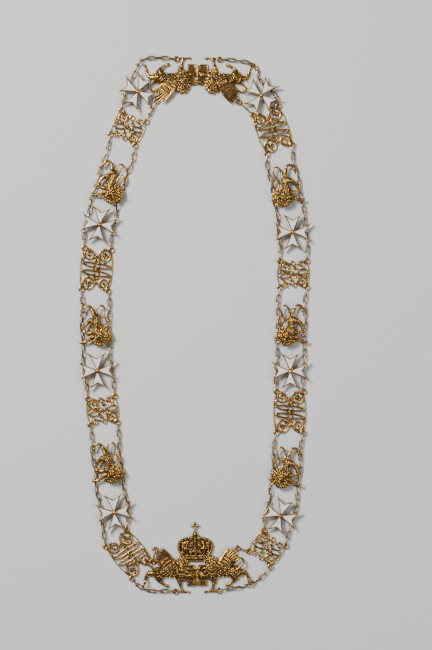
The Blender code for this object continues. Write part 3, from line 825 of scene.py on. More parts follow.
def fill_patina_and_painted_light(shader, given):
    """Dirt with painted shade in hollows, rubbing with painted highlight on edges, cloudy tarnish
    between.
    """
    cloud = shader.noise(given["Vector"], CLOUD_SCALE, 4.0)
    grain = shader.noise(given["Vector"], GRAIN_SCALE, 2.0)
    edge = shader.weighed((given["Relief"], RELIEF_WEIGHT), (given["Depth"], RELIEF_WEIGHT),
                          (shader.math("SUBTRACT", cloud, 0.5), CLOUD_WEIGHT))
    # Dark in the hollows: dirt, and painted shade where the relief is low
    dirt_and_shade = shader.math("MULTIPLY", shader.ramp(edge, *DIRT_AND_SHADE_RANGE), given["Dirt"])
    # Bright on the edges: rubbed gilding, and a painted highlight on the ridges
    rubbed_and_highlight = shader.math("MULTIPLY", shader.ramp(edge, *RUBBED_AND_HIGHLIGHT_RANGE), given["Wear"])
    metal = shader.blend(shader.ramp(cloud, *CLEAR_RANGE), given["Tarnish"], given["Metal"])
    metal = shader.blend(rubbed_and_highlight, metal, given["Bright"])
    colour = shader.blend(dirt_and_shade, metal, given["Hollow"])
    rough = shader.weighed(*zip((cloud, grain, dirt_and_shade, rubbed_and_highlight), ROUGH_WEIGHTS))
    rough = shader.math("ADD", rough, given["Base Roughness"], clamp=True)
    # Where the dirt and painted shade lie, the metal is also duller
    metallic = shader.math("SUBTRACT", 1.0, shader.math("MULTIPLY", dirt_and_shade, DIRT_AND_SHADE_DULLS), clamp=True)
    return {"Color": colour, "Roughness": rough, "Metallic": metallic, "Height": grain}


def fill_glaze(shader, given):
    """Faint clouds in a glaze, with painted shade that makes it greyer and warmer along its rim."""
    cloud = shader.noise(given["Vector"], GLAZE_CLOUD_SCALE, 4.0)
    speck = shader.noise(given["Vector"], SPECK_SCALE, 2.0)
    body = shader.blend(shader.ramp(cloud, *SHADE_RANGE), given["Shade"], given["Glaze"])
    body = shader.blend(shader.ramp(speck, *SPECK_RANGE), body, given["Speck"])
    # Painted shade along the rim of the enamel, greyer and warmer
    rim = shader.math("MULTIPLY", given["Rim"], RIM_SHADE_SHARE)
    return {"Color": shader.blend(rim, body, given["Rim Colour"]),
            "Roughness": shader.ramp(cloud, *GLAZE_ROUGHNESS), "Height": cloud}


def start_material(name):
    """A new material, its shader and its surface."""
    skin = bpy.data.materials.new(name)
    skin.use_nodes = True
    return skin, Shader(skin.node_tree), skin.node_tree.nodes["Principled BSDF"]


def dress(shader, surface, tree, inputs, strength, distance):
    """Places a group with its own values and feeds what it puts out to the surface."""
    dressed = shader.node("ShaderNodeGroup", inputs, node_tree=tree).outputs
    bump = shader.node("ShaderNodeBump", {"Height": dressed["Height"], "Strength": strength,
                                          "Distance": distance})
    shader.tree.links.new(bump.outputs[0], surface.inputs["Normal"])
    for label, socket in (("Color", "Base Color"), ("Roughness", "Roughness"),
                          ("Metallic", "Metallic")):
        if label in dressed:
            shader.tree.links.new(dressed[label], surface.inputs[socket])


def gilt_material(name, metal):
    """Old gilding: rubbed edges with painted highlights, dirty hollows with painted shade."""
    known = bpy.data.materials.get(name)
    if known:
        return known
    look = bpy.context.scene.collar_finish
    patina = group(
        "patina",
        (("Vector", "Vector"), ("Relief", "Float"), ("Depth", "Float"), ("Wear", "Float"),
         ("Dirt", "Float"), ("Base Roughness", "Float"), ("Metal", "Color"), ("Tarnish", "Color"),
         ("Bright", "Color"), ("Hollow", "Color")),
        (("Color", "Color"), ("Roughness", "Float"), ("Metallic", "Float"), ("Height", "Float")),
        fill_patina_and_painted_light)
    skin, shader, surface = start_material(name)
    tarnish = [part * look.tarnish for part in metal]
    inputs = {
        "Vector": shader.place(), "Relief": shader.attribute("relief"),
        "Depth": shader.attribute("depth"), "Wear": look.wear_and_highlight, "Dirt": look.dirt_and_shade,
        "Base Roughness": look.gilt_roughness, "Metal": (*metal, 1), "Tarnish": (*tarnish, 1),
        "Bright": (*look.bright, 1), "Hollow": (*look.hollow, 1),
    }
    dress(shader, surface, patina, inputs, strength=0.25, distance=0.0002)
    return skin


def gilt():
    """The gilding of the castings and crosses."""
    return gilt_material("aged casting", bpy.context.scene.collar_finish.gilt)


def chain_gilt():
    """The gilding of the chain links."""
    return gilt_material("aged link", bpy.context.scene.collar_finish.chain_gilt)


def enamel():
    """White enamel under its own gloss."""
    known = bpy.data.materials.get("fired glaze")
    if known:
        return known
    look = bpy.context.scene.collar_finish
    glaze = group(
        "glaze",
        (("Vector", "Vector"), ("Rim", "Float"), ("Glaze", "Color"), ("Shade", "Color"),
         ("Speck", "Color"), ("Rim Colour", "Color")),
        (("Color", "Color"), ("Roughness", "Float"), ("Height", "Float")),
        fill_glaze)
    skin, shader, surface = start_material("fired glaze")
    shade = [part * GLAZE_SHADE for part in look.enamel]
    inputs = {
        "Vector": shader.place(), "Rim": shader.attribute("rim"), "Glaze": (*look.enamel, 1),
        "Shade": (*shade, 1), "Speck": SPECK_COLOUR, "Rim Colour": GLAZE_RIM_SHADE_COLOUR,
    }
    dress(shader, surface, glaze, inputs, strength=0.15, distance=0.0003)
    surface.inputs["Coat Weight"].default_value = 0.5
    surface.inputs["Coat Roughness"].default_value = 0.08
    return skin


# Link: sides of its wire, steps round each corner, and what the gilding's colour takes as raised
# and as low: the outside lighter, with rubbed wear and a painted highlight, and the inside,
# between the links, darker with dirt and painted shade
WIRE_SIDES = 6
CORNER_STEPS = 3
LINK_HIGHLIGHT_AND_SHADE = (1.4, -0.4)


def link_mesh(size):
    """One link of square-cornered oval wire, its length along X, flat and about the origin."""
    corner = size.link_corner
    side_y = (size.link_width - size.link_wire) / 2
    end_x = (size.link_length - size.link_wire) / 2
    bm = bmesh.new()
    turned = Matrix.Rotation(math.radians(90), 4, "Y")
    bmesh.ops.create_circle(bm, segments=WIRE_SIDES, radius=size.link_wire / 2,
                            matrix=Matrix.Translation((corner - end_x, side_y, 0)) @ turned)
    rim = bm.edges[:]
    way = Vector((1, 0, 0))
    corners = ((1, 1), (1, -1), (-1, -1), (-1, 1))
    runs = (2 * (end_x - corner), 2 * (side_y - corner)) * 2
    for (x, y), run in zip(corners, runs):
        verts, rim = extruded(bm, rim)
        bmesh.ops.translate(bm, vec=way * run, verts=verts)
        bend = bmesh.ops.spin(bm, geom=rim, cent=(x * (end_x - corner), y * (side_y - corner), 0),
                              axis=(0, 0, -1), dvec=(0, 0, 0), angle=math.pi / 2,
                              steps=CORNER_STEPS)
        rim = [item for item in bend["geom_last"] if isinstance(item, bmesh.types.BMEdge)]
        way = Vector((way.y, -way.x, 0))
    bmesh.ops.remove_doubles(bm, verts=bm.verts, dist=size.link_wire / 20)
    bmesh.ops.recalc_face_normals(bm, faces=bm.faces)
    # Outside lighter with rubbed wear and a painted highlight, inside darker with dirt and painted shade
    raised, low = LINK_HIGHLIGHT_AND_SHADE
    layer = bm.verts.layers.float.new("relief")
    for vert in bm.verts:
        inner = max(abs(vert.co.x) / end_x, abs(vert.co.y) / side_y) < 1
        vert[layer] = low if inner else raised
    return to_mesh(bm, "link")


def link_places(path, size):
    """Middle, direction, roll and length factor of each link between two eyes.

    The links turn by a quarter each. Both end links stand upright in the flat eyes, so a run of
    two links becomes one or three.
    """
    total = lengths(path)
    hook = EYE_RADIUS - EYE_WIRE - size.link_wire / 2 - TOUCH / 2
    reach = size.link_length - size.link_wire
    overlap = size.link_wire + size.link_play
    pitch = reach - overlap
    run = total[-1] - 2 * hook - reach
    steps = max(round(run / pitch), 0)
    if steps == 1:
        steps = 2 if run > 1.5 * pitch else 0
    length = run / steps + overlap if steps else total[-1] - 2 * hook
    factor = length / reach
    quarter_turns = 2 * round(steps / 2)
    places = []
    for i in range(steps + 1):
        share = i / max(steps, 1)
        middle = hook + length / 2 + (run + reach - length) * share
        near, far = (point_at(path, total, middle + way * reach / 2) for way in (-1, 1))
        heading = math.atan2(far[1] - near[1], far[0] - near[0])
        roll = math.pi / 2 * (1 + quarter_turns * share)
        places.append((lerp(near, far, 0.5), heading, roll, factor))
    return places


def lay_link(bm, link, stretch, matrix):
    """Adds a link to a run, with each end moved out by a stretch."""
    known = len(bm.verts)
    bm.from_mesh(link)
    bm.verts.ensure_lookup_table()
    verts = bm.verts[known:]
    for vert in verts:
        vert.co.x += math.copysign(stretch, vert.co.x)
    bmesh.ops.transform(bm, matrix=matrix, verts=verts)


class ChainSizes(PropertyGroup):
    link_length: FloatProperty(
        name="Link length", description="Outer length of one link", default=0.0092, unit="LENGTH")
    link_width: FloatProperty(
        name="Link width", description="Outer width of one link", default=LINK_WIDTH, unit="LENGTH")
    link_wire: FloatProperty(
        name="Wire", description="Thickness of the link's wire", default=0.0012, unit="LENGTH")
    link_corner: FloatProperty(
        name="Corner", description="Radius of the link's corners", default=0.0011, unit="LENGTH")
    link_play: FloatProperty(
        name="Play", description="Free way between two links", default=0.0001, unit="LENGTH")
    link_twist: FloatProperty(
        name="Twist", description="How far a link may turn from its place", default=0.16,
        subtype="ANGLE")


class CrossSizes(PropertyGroup):
    wall: FloatProperty(
        name="Wall", description="Height of the gilt wall round a cross", default=0.0030,
        unit="LENGTH")
    rim: FloatProperty(
        name="Rim", description="Width of the gilt rim", default=0.0008, unit="LENGTH")
    recess: FloatProperty(
        name="Recess", description="Depth of the bed for the enamel", default=0.0010, unit="LENGTH")
    dome: FloatProperty(
        name="Dome", description="Rise of the enamel over the rim", default=0.0003, unit="LENGTH")
    pillow: FloatProperty(
        name="Pillow", description="Width of the enamel's rounded edge", default=0.0004,
        unit="LENGTH")
    boss: FloatProperty(
        name="Boss", description="Radius of the middle boss", default=0.0019, unit="LENGTH")
    boss_top: FloatProperty(
        name="Boss height", description="Top of the boss over the back", default=0.0048,
        unit="LENGTH")


class ReliefSizes(PropertyGroup):
    winged_voxel: FloatProperty(
        name="Winged lion grid", description="Fineness of the winged lions and crown",
        default=0.00029, unit="LENGTH", precision=5)
    lion_voxel: FloatProperty(
        name="Crowned lion grid", description="Fineness of the crowned lions", default=0.00030,
        unit="LENGTH", precision=5)
    scroll_voxel: FloatProperty(
        name="Scroll grid", description="Fineness of the scroll links", default=0.00036,
        unit="LENGTH", precision=5)
    depth: FloatProperty(
        name="Relief depth", description="Height that counts as fully raised or sunk",
        default=0.0004, unit="LENGTH", precision=5)


class FinishColours(PropertyGroup):
    gilt: FloatVectorProperty(
        name="Gilt", description="Colour of the castings", default=(0.52, 0.285, 0.065), subtype="COLOR")
    chain_gilt: FloatVectorProperty(
        name="Chain gilt", description="Colour of the links", default=(0.62, 0.41, 0.17),
        subtype="COLOR")
    # Rubbed edges: worn gilding, and a painted highlight on the ridges
    bright: FloatVectorProperty(
        name="Rubbed edge and highlight", description="Colour of rubbed edges and painted highlights", default=(0.86, 0.54, 0.16),
        subtype="COLOR")
    # Hollows: dirt, and painted shade
    hollow: FloatVectorProperty(
        name="Hollow", description="Colour of dirt and painted shade in the hollows", default=(0.045, 0.024, 0.009),
        subtype="COLOR")
    enamel: FloatVectorProperty(
        name="Enamel", description="Colour of the enamel", default=(0.80, 0.80, 0.78), subtype="COLOR")
    gilt_roughness: FloatProperty(
        name="Gilt roughness", description="Least roughness of the gilding", default=0.12,
        subtype="FACTOR")
    tarnish: FloatProperty(
        name="Tarnish", description="Brightness left where the gilding is dull", default=0.55,
        subtype="FACTOR")
    # How far the edges are rubbed bright, which also paints a highlight on them
    wear_and_highlight: FloatProperty(
        name="Wear", description="How far the edges are rubbed bright, with a painted highlight", default=0.55, subtype="FACTOR")
    # How far the hollows are darkened with dirt and painted shade
    dirt_and_shade: FloatProperty(
        name="Dirt", description="How much dirt and painted shade lies in the hollows", default=0.96, subtype="FACTOR")


class StageSizes(PropertyGroup):
    floor_colour: FloatVectorProperty(
        name="Floor", description="Colour of the floor", default=(0.62, 0.635, 0.65), subtype="COLOR")
    floor_size: FloatProperty(
        name="Floor size", description="Length of the floor's sides", default=6.0, unit="LENGTH")
    camera_height: FloatProperty(
        name="Camera height", description="Height of the camera over the floor", default=1.6,
        unit="LENGTH")
    frame_height: FloatProperty(
        name="Frame height", description="Length of floor that the picture shows", default=0.65,
        unit="LENGTH")
    frame_shift: FloatProperty(
        name="Frame shift", description="Place of the camera across the collar", default=0.02125,
        unit="LENGTH")
    key_power: FloatProperty(
        name="Key light", description="Power of the main light", default=86.0, unit="POWER")
    fill_power: FloatProperty(
        name="Fill light", description="Power of the soft light from the other side", default=9.0,
        unit="POWER")
    top_power: FloatProperty(
        name="Top light", description="Power of the wide light behind the camera", default=4.0,
        unit="POWER")
    sky: FloatProperty(
        name="Sky", description="Strength of the light from all round", default=0.10,
        subtype="FACTOR")


class COLLAR_OT_chains(Operator):
    """Lay a run of interlocked links along each strand"""

    bl_idname = "collar.chains"
    bl_label = "Chains"

    def execute(self, context):
        size = context.scene.collar_chain
        link = link_mesh(size)
        dice = random.Random(7)
        for name, path in COLLAR.strands.items():
            bm = bmesh.new()
            places = link_places(path, size)
            for i, (centre, heading, roll, factor) in enumerate(places):
                stretch = (factor - 1) * (size.link_length - size.link_wire) / 2
                sway = dice.uniform(-1, 1) * size.link_twist
                twist = roll + (sway if 0 < i < len(places) - 1 else 0.0)
                matrix = Matrix.Translation((*centre, STRAND_MID))
                matrix @= Matrix.Rotation(heading, 4, "Z") @ Matrix.Rotation(twist, 4, "X")
                lay_link(bm, link, stretch, matrix)
            label = name.removeprefix("chain_")
            show(f"links_{label}", to_mesh(bm, name), chain_gilt(), "chain_gilt", name)
        bpy.data.meshes.remove(link)
        return {"FINISHED"}


# Edge of an arm between its waist and the notch, its point in the middle, in shares of half its
# width at the tips and of its reach
ARM_EDGE = table("across along", (0.55, 0.598), (1.0, 1.0), (0.35, 0.779))
# Wall and round rim of an arm: inset in rim widths and height in shares of the wall
RIM_PROFILE = table(
    "inset rise",
    (0.0, 0.0), (0.0, 0.66), (0.1, 0.84), (0.3, 0.96), (0.55, 1.0), (0.8, 0.96), (1.0, 0.84),
)
BED_INSET = 1.1
# Claw over a point: share of the way in, and radius in rim widths
CLAW = table("share radius", (0.02, 0.2), (0.15, 0.55), (0.55, 0.62), (1.0, 0.3))
CLAW_INNER = (0.79, 0.875)
# Hub and the skirt of the boss: width or radius in boss radii, heights in shares of the wall
HUB_WIDTH = 1.6
HUB_HEIGHT = 0.9
SKIRT_RADIUS = 1.04
SKIRT_FOOT = 0.8
SKIRT_RISE = 0.35
# Beads round the boss: their circle and radius in boss radii, and their height in walls
BOSS_BEADS = 8
BEAD_CIRCLE = 1.08
BEAD_RADIUS = 0.22
BEAD_LIFT = 1.24
# What the gilding's colour takes as raised and as low, and the share of the wall where raised
# starts: the rim's top lighter with rubbed wear and a painted highlight, the rest darker with dirt
# and painted shade
MOUNT_HIGHLIGHT_AND_SHADE = (1.7, 0.2)
RAISED_FROM = 0.84
# Enamel: inset in rim widths, gap to its bed, and share of the bed's depth where its edge rounds
GLAZE_INSET = 1.12
GLAZE_GAP = TOUCH / 10
GLAZE_EDGE = 0.6
# Its rounded edge: inset in shares of the pillow, rise in shares of its own, and share of the
# painted rim shade. Its middle rises by GLAZE_PEAK more.
PILLOW = table("inset rise rim", (0.0, 0.0, 1.0), (0.5, 0.5, 0.5), (0.8, 0.8, 0.1))
GLAZE_PEAK = 0.4


def arm_outline(inset):
    """One arm of the cross, set in all round: it flares to two points with a notch between them.

    Its waist, points and notch are corners, and the edges between them are curved.
    """
    half = [(CROSS_WAIST / 2, CROSS_WAIST / 2)]
    half += [(x * CROSS_TIP_HALF, y * CROSS_REACH) for x, y in ARM_EDGE]
    around = [Vector(point) for point in (*half, (0.0, CROSS_NOTCH))]
    around += [Vector((-x, y)) for x, y in reversed(half)]
    inner = []
    for i, corner in enumerate(around):
        before = (corner - around[i - 1]).orthogonal().normalized()
        after = (around[(i + 1) % len(around)] - corner).orthogonal().normalized()
        inwards = (before + after).normalized()
        inner.append(corner + inwards * (inset / inwards.dot(before)))
    outline = []
    for first in range(0, len(inner) - 1, 2):
        outline += smooth(inner[first:first + 3], 6)[:-1]
    return [*outline, tuple(inner[-1])]


def arm_plate(rows):
    """A closed plate over one arm, and its top face: rows of inset and height from the back up."""
    bm = bmesh.new()
    loops = [[bm.verts.new((x, y, z)) for x, y in arm_outline(inset)] for inset, z in rows]
    for low, high in zip(loops, loops[1:]):
        for i in range(len(low)):
            bm.faces.new((low[i - 1], low[i], high[i], high[i - 1]))
    bm.faces.new(loops[0])
    top = bm.faces.new(loops[-1])
    bmesh.ops.recalc_face_normals(bm, faces=bm.faces)
    return bm, top


def join(mesh, part):
    """Adds a bmesh, which is freed, to a mesh."""
    part.from_mesh(mesh)
    part.to_mesh(mesh)
    part.free()


def four_arms(arm, middle):
    """A cross of an arm's mesh, which is removed, and a middle bmesh, which is freed."""
    for quarter in range(4):
        arm.transform(Matrix.Rotation(math.radians(90), 4, "Z"))
        middle.from_mesh(arm)
    bpy.data.meshes.remove(arm)
    return to_mesh(middle, "cross")


def cross_mount_mesh(size):
    """Gilt cross with a round rim, a bed for the enamel in each arm, pointed tips and a boss."""
    rows = [(size.rim * inset, size.wall * rise) for inset, rise in RIM_PROFILE]
    arm, _ = arm_plate([*rows, (size.rim * BED_INSET, size.wall - size.recess)])
    mesh = to_mesh(arm, "arm")
    for way in (-1, 1):
        tip = Vector((way * CROSS_TIP_HALF, CROSS_REACH, size.wall))
        across, along = CLAW_INNER
        inner = Vector((way * CROSS_TIP_HALF * across, CROSS_REACH * along, size.wall))
        claw = [(*tip.lerp(inner, share), radius * size.rim) for share, radius in CLAW]
        join(mesh, bar_bmesh(claw, 8))
    middle = bmesh.new()
    hub = (size.boss * HUB_WIDTH, size.boss * HUB_WIDTH, size.wall * HUB_HEIGHT)
    bmesh.ops.create_cube(middle, size=1.0, matrix=Matrix.Translation((0, 0, hub[2] / 2))
                          @ Matrix.Diagonal((*hub, 1)))
    skirt = (size.boss * SKIRT_RADIUS, size.wall * SKIRT_FOOT, size.wall * SKIRT_RISE)
    boss = (size.boss, size.wall, size.boss_top - size.wall)
    for radius, low, rise in (skirt, boss):
        dome = Matrix.Translation((0, 0, low)) @ Matrix.Diagonal((radius, radius, rise, 1))
        bmesh.ops.create_uvsphere(middle, u_segments=20, v_segments=10, radius=1.0, matrix=dome)
    for k in range(BOSS_BEADS):
        spot = Matrix.Translation((size.boss * BEAD_CIRCLE, 0, size.wall * BEAD_LIFT))
        bead = Matrix.Rotation(math.tau * k / BOSS_BEADS, 4, "Z") @ spot
        bmesh.ops.create_icosphere(middle, subdivisions=2, radius=size.boss * BEAD_RADIUS,
                                   matrix=bead)
    cross = four_arms(mesh, middle)
    # Rim tops lighter with rubbed wear and a painted highlight, the rest darker with dirt and painted
    # shade
    raised, low = MOUNT_HIGHLIGHT_AND_SHADE
    heights = cross.attributes.new("relief", "FLOAT", "POINT")
    for vert, value in zip(cross.vertices, heights.data):
        value.value = raised if vert.co.z > size.wall * RAISED_FROM else low
    return cross


def cross_enamel_mesh(size):
    """Pillowed enamel that fills the bed of each arm."""
    side = size.rim * GLAZE_INSET + GLAZE_GAP
    low = size.wall - size.recess + GLAZE_GAP
    edge = low + size.recess * GLAZE_EDGE
    rise = size.recess * (1 - GLAZE_EDGE) + size.dome
    rows = [(side, low, 1.0)]
    rows += [(side + size.pillow * inset, edge + rise * up, rim) for inset, up, rim in PILLOW]
    arm, top = arm_plate([row[:2] for row in rows])
    # Share of the painted rim shade at each point of the enamel
    layer = arm.verts.layers.float.new("rim")
    for vert in arm.verts:
        vert[layer] = min(rows, key=lambda row: abs(row[1] - vert.co.z))[2]
    bmesh.ops.poke(arm, faces=[top], offset=rise * GLAZE_PEAK)
    return four_arms(to_mesh(arm, "arm"), bmesh.new())


class COLLAR_OT_crosses(Operator):
    """Set an enamelled cross at each of its places"""

    bl_idname = "collar.crosses"
    bl_label = "Crosses"

    def execute(self, context):
        size = context.scene.collar_cross
        mount, glaze = cross_mount_mesh(size), cross_enamel_mesh(size)
        for label, seat in COLLAR.of("cross_mount_"):
            matrix = seat.matrix(UPPER_BACK, False)
            show(f"cross_frame_{label}", placed(mount, matrix), gilt(), "antique_gilt",
                 f"cross_mount_{label}", sharp=50)
            show(f"cross_glaze_{label}", placed(glaze, matrix), enamel(), "white_enamel",
                 f"cross_enamel_{label}", sharp=35)
        for mesh in (mount, glaze):
            bpy.data.meshes.remove(mesh)
        return {"FINISHED"}


def openwork(rings, ovals, curls, stems, leaves, beads, knot):
    """Plan of half a scroll link in millimetres, which the other half repeats turned round.

    The stems are bars through points of x, y, z and radius, and the knot is its middle.
    """
    return {
        "rings": table("x y radius wire", *rings),
        "ovals": table("x y reach rise tilt", *ovals),
        "curls": table("x y radius start hand", *curls),
        "stems": stems,
        "leaves": table("x y heading length width bend", *leaves),
        "beads": table("x y radius", *beads),
        "knot": table("radius wire", *knot),
    }


SCROLL_PLANS = {
    "long": openwork(
        rings=((7.4, 14.2, 5.9, 1.0), (-8.0, 14.4, 4.7, 0.95), (0.0, 10.9, 2.1, 0.75)),
        ovals=((0.0, 3.9, 14.3, 2.3, -6.0),),
        curls=((-8.0, 14.4, 4.6, 250, 1), (7.4, 17.0, 2.7, 90, 1), (5.1, 12.8, 2.6, 215, 1),
               (9.7, 12.8, 2.6, 325, 1)),
        stems=(
            ((12.2, 19.4, 1.8, 0.9), (11.0, 18.2, 1.8, 0.9)),
            ((-12.2, 19.2, 1.8, 0.9), (-10.8, 17.6, 1.8, 0.9)),
            ((-12.3, 12.6, 1.8, 0.8), (-14.6, 9.4, 1.8, 0.9), (-14.4, 6.4, 1.8, 0.8),
             (-12.6, 5.0, 1.8, 0.6)),
            ((-2.3, 0.0, 1.7, 0.9), (-2.3, 6.4, 1.9, 0.9), (-1.4, 9.4, 1.8, 0.8)),
            ((2.3, 0.0, 1.7, 0.9), (2.3, 6.4, 1.9, 0.9), (1.4, 9.4, 1.8, 0.8)),
            ((7.4, 8.4, 1.8, 0.8), (8.0, 6.6, 1.8, 0.9), (9.4, 5.0, 1.8, 0.7)),
            ((-3.6, 13.2, 1.8, 0.7), (-2.0, 12.0, 1.8, 0.7)),
        ),
        leaves=((-8.2, 18.8, 120, 2.6, 0.9, -60), (-7.6, 18.8, 60, 2.6, 0.9, 60),
                (7.0, 19.8, 120, 2.4, 0.9, -60), (7.8, 19.8, 60, 2.4, 0.9, 60),
                (0.0, 12.6, 90, 2.8, 1.0, 0), (12.8, 4.6, 70, 2.6, 0.8, 50)),
        beads=((0.0, 10.9, 0.9), (7.4, 14.2, 1.0), (-2.3, 6.2, 1.05), (2.3, 6.2, 1.05),
               (-14.6, 9.4, 0.9), (7.6, 7.6, 1.0), (-8.0, 19.2, 1.0), (7.4, 20.2, 0.9)),
        knot=((1.7, 0.6),),
    ),
    "short": openwork(
        rings=((-8.6, 7.4, 4.6, 0.95), (-0.8, 10.8, 2.0, 0.7), (1.9, 5.8, 1.5, 0.6)),
        ovals=((8.6, 2.0, 5.3, 2.5, 14.0),),
        curls=((-8.6, 7.4, 4.5, 250, 1), (8.6, 9.2, 3.4, 150, -1)),
        stems=(
            ((-12.2, 11.6, 1.8, 0.9), (-11.4, 10.6, 1.8, 0.9)),
            ((11.9, 12.2, 1.8, 0.9), (10.6, 11.2, 1.8, 0.9)),
            ((-5.2, 4.4, 1.8, 0.8), (-2.6, 2.6, 1.9, 0.9), (0.0, 0.0, 2.0, 1.0)),
            ((-0.6, 8.9, 1.8, 0.7), (0.6, 7.2, 1.8, 0.7)),
            ((2.4, 4.4, 1.8, 0.7), (4.2, 2.4, 1.9, 0.8)),
            ((1.0, 10.6, 1.8, 0.7), (3.4, 9.6, 1.8, 0.8), (5.6, 8.6, 1.8, 0.8)),
            ((10.6, 6.4, 1.8, 0.8), (11.4, 4.6, 1.8, 0.8)),
            ((-12.2, 4.6, 1.8, 0.8), (-13.6, 2.0, 1.8, 0.8), (-13.2, -0.6, 1.8, 0.6)),
        ),
        leaves=((6.6, 11.8, 100, 2.8, 1.0, 60), (8.8, 12.4, 80, 2.6, 1.0, -40),
                (5.4, 9.4, 190, 2.4, 0.9, -60), (-8.2, 11.8, 100, 2.4, 0.9, -60),
                (-3.0, 2.6, 60, 3.0, 1.0, 60), (-4.2, 3.6, 230, 2.6, 0.9, 50)),
        beads=((-0.8, 13.0, 0.9), (1.9, 5.8, 0.7), (4.2, 9.3, 1.0), (-8.6, 11.9, 0.9),
               (-13.6, 2.0, 0.9), (11.2, 5.2, 0.9)),
        knot=((1.6, 0.6),),
    ),
}
MILLIMETRES = 1000
# Heights and wires of its parts in millimetres, and where the outer bow is widest. A curl's wire
# grows with its radius.
SCROLL_HEIGHTS = {"bow": 1.4, "ring": 1.8, "leaf": 1.9, "oval": 2.4, "bead": 2.5, "boss": 2.6}
BOW_WIRE = 0.55
BOW_BEND = 0.4
OVAL_WIRE = 0.95
SCROLL_CURL_WIRE = (0.2, 0.15)
SCROLL_CURL_TURNS = 1.2
SCROLL_RING_SIDES = 20
# Beads in the middle of a curl and of the knot
CURL_BOSS = 1.1
KNOT_BOSS = 1.3


def scroll_mesh(kind, size):
    """Openwork of rings and curls about a knot, alike when turned round, with four eyes."""
    cast = Casting(100 / MILLIMETRES)
    plan = SCROLL_PLANS[kind]
    at = SCROLL_HEIGHTS
    gauge, bulge, eye, eye_wire = (MILLIMETRES * value for value in
                                   (HALF_GAUGE, SCROLL_BULGE, EYE_RADIUS, EYE_WIRE))
    eye_y = SCROLL_LENGTH[kind] * MILLIMETRES / 2 - eye
    for way in (1, -1):
        turn = 0 if way > 0 else 180
        for y in (-eye_y, eye_y):
            cast.ring(way * gauge, y, MILLIMETRES * STRAND_MID, eye, eye_wire)
        bow = [(gauge, eye - eye_y), (gauge + bulge, -eye_y * BOW_BEND),
               (gauge + bulge, eye_y * BOW_BEND), (gauge, eye_y - eye)]
        cast.bar([(way * x, y, at["bow"], BOW_WIRE) for x, y in bow])
        for x, y, radius, wire in plan["rings"]:
            cast.ring(way * x, way * y, at["ring"], radius, wire, SCROLL_RING_SIDES)
        for x, y, reach, rise, tilt in plan["ovals"]:
            cast.oval(way * x, way * y, at["oval"], reach, rise, OVAL_WIRE, tilt)
        for x, y, radius, start, hand in plan["curls"]:
            least, growth = SCROLL_CURL_WIRE
            cast.curl(way * x, way * y, at["ring"], radius, least + growth * radius, start + turn,
                      SCROLL_CURL_TURNS, hand)
            cast.bead(way * x, way * y, at["boss"], CURL_BOSS)
        for points in plan["stems"]:
            cast.bar([(way * x, way * y, z, r) for x, y, z, r in points])
        for x, y, heading, length, width, bend in plan["leaves"]:
            cast.lock(way * x, way * y, at["leaf"], heading + turn, length, width, bend)
        for x, y, radius in plan["beads"]:
            cast.bead(way * x, way * y, at["bead"], radius)
    for radius, wire in plan["knot"]:
        cast.ring(0, 0, at["oval"], radius, wire)
    cast.bead(0, 0, at["boss"], KNOT_BOSS)
    return cast.fuse(f"scroll_{kind}", size.scroll_voxel, size.depth,
                     node_height("scroll_link_right_1"))


class COLLAR_OT_scroll_links(Operator):
    """Set an openwork scroll link at each of its places"""

    bl_idname = "collar.scroll_links"
    bl_label = "Scroll Links"

    def execute(self, context):
        size = context.scene.collar_relief
        shapes = {kind: scroll_mesh(kind, size) for kind in SCROLL_LENGTH}
        for label, seat in COLLAR.of("scroll_link_"):
            show_casting(f"openwork_{label}", shapes[seat.kind], seat.matrix(0.0, False),
                         f"scroll_link_{label}")
        for mesh in shapes.values():
            bpy.data.meshes.remove(mesh)
        return {"FINISHED"}


# Lobes of the crown on a head, in shares of half its width
HEAD_LOBES = table(
    "across up lean",
    (-0.90, 0.36, 34), (-0.47, 0.50, 16), (0.0, 0.55, 0), (0.47, 0.50, -16), (0.90, 0.36, -34),
)
LOBE = SimpleNamespace(wide=0.28, tall=0.44, thick=3.6, sink=2.0)
# Beads over the lobes and along the band, the bars of the band, their points and their bow
LOBE_BEAD = SimpleNamespace(spread=1.22, up=0.38, radius=0.12, sink=1.0)
HEAD_BAND_BEAD = SimpleNamespace(up=0.02, radius=0.09, lift=0.18)
HEAD_BANDS = table("up radius", (0.0, 0.19), (0.24, 0.08))
HEAD_BAND_ACROSS = (-1.05, -0.5, 0.0, 0.5, 1.05)
HEAD_BAND_BOW = 0.12

# Face, in shares of its size: skull, then brows, eyes, nose, muzzle, chin, cheeks and ears
FACE = table(
    "x y z radii lean",
    (0.0, 0.1, 0.0, (0.95, 1.05, 0.62), 0),
    (-0.38, 0.38, 0.60, (0.34, 0.13, 0.28), -16), (0.38, 0.38, 0.60, (0.34, 0.13, 0.28), 16),
    (-0.37, 0.10, 0.58, (0.17, 0.13, 0.17), -10), (0.37, 0.10, 0.58, (0.17, 0.13, 0.17), 10),
    (0.0, 0.12, 0.72, (0.16, 0.45, 0.25), 0), (0.0, -0.24, 0.95, (0.28, 0.14, 0.20), 0),
    (-0.27, -0.50, 0.72, (0.32, 0.27, 0.38), 0), (0.27, -0.50, 0.72, (0.32, 0.27, 0.38), 0),
    (0.0, -0.93, 0.45, (0.26, 0.17, 0.38), 0),
    (-0.70, -0.22, 0.28, (0.27, 0.46, 0.38), -8), (0.70, -0.22, 0.28, (0.27, 0.46, 0.38), 8),
    (-0.80, 0.88, 0.35, (0.28, 0.34, 0.35), 30), (0.80, 0.88, 0.35, (0.28, 0.34, 0.35), -30),
)
FACE_RELIEF = 0.65


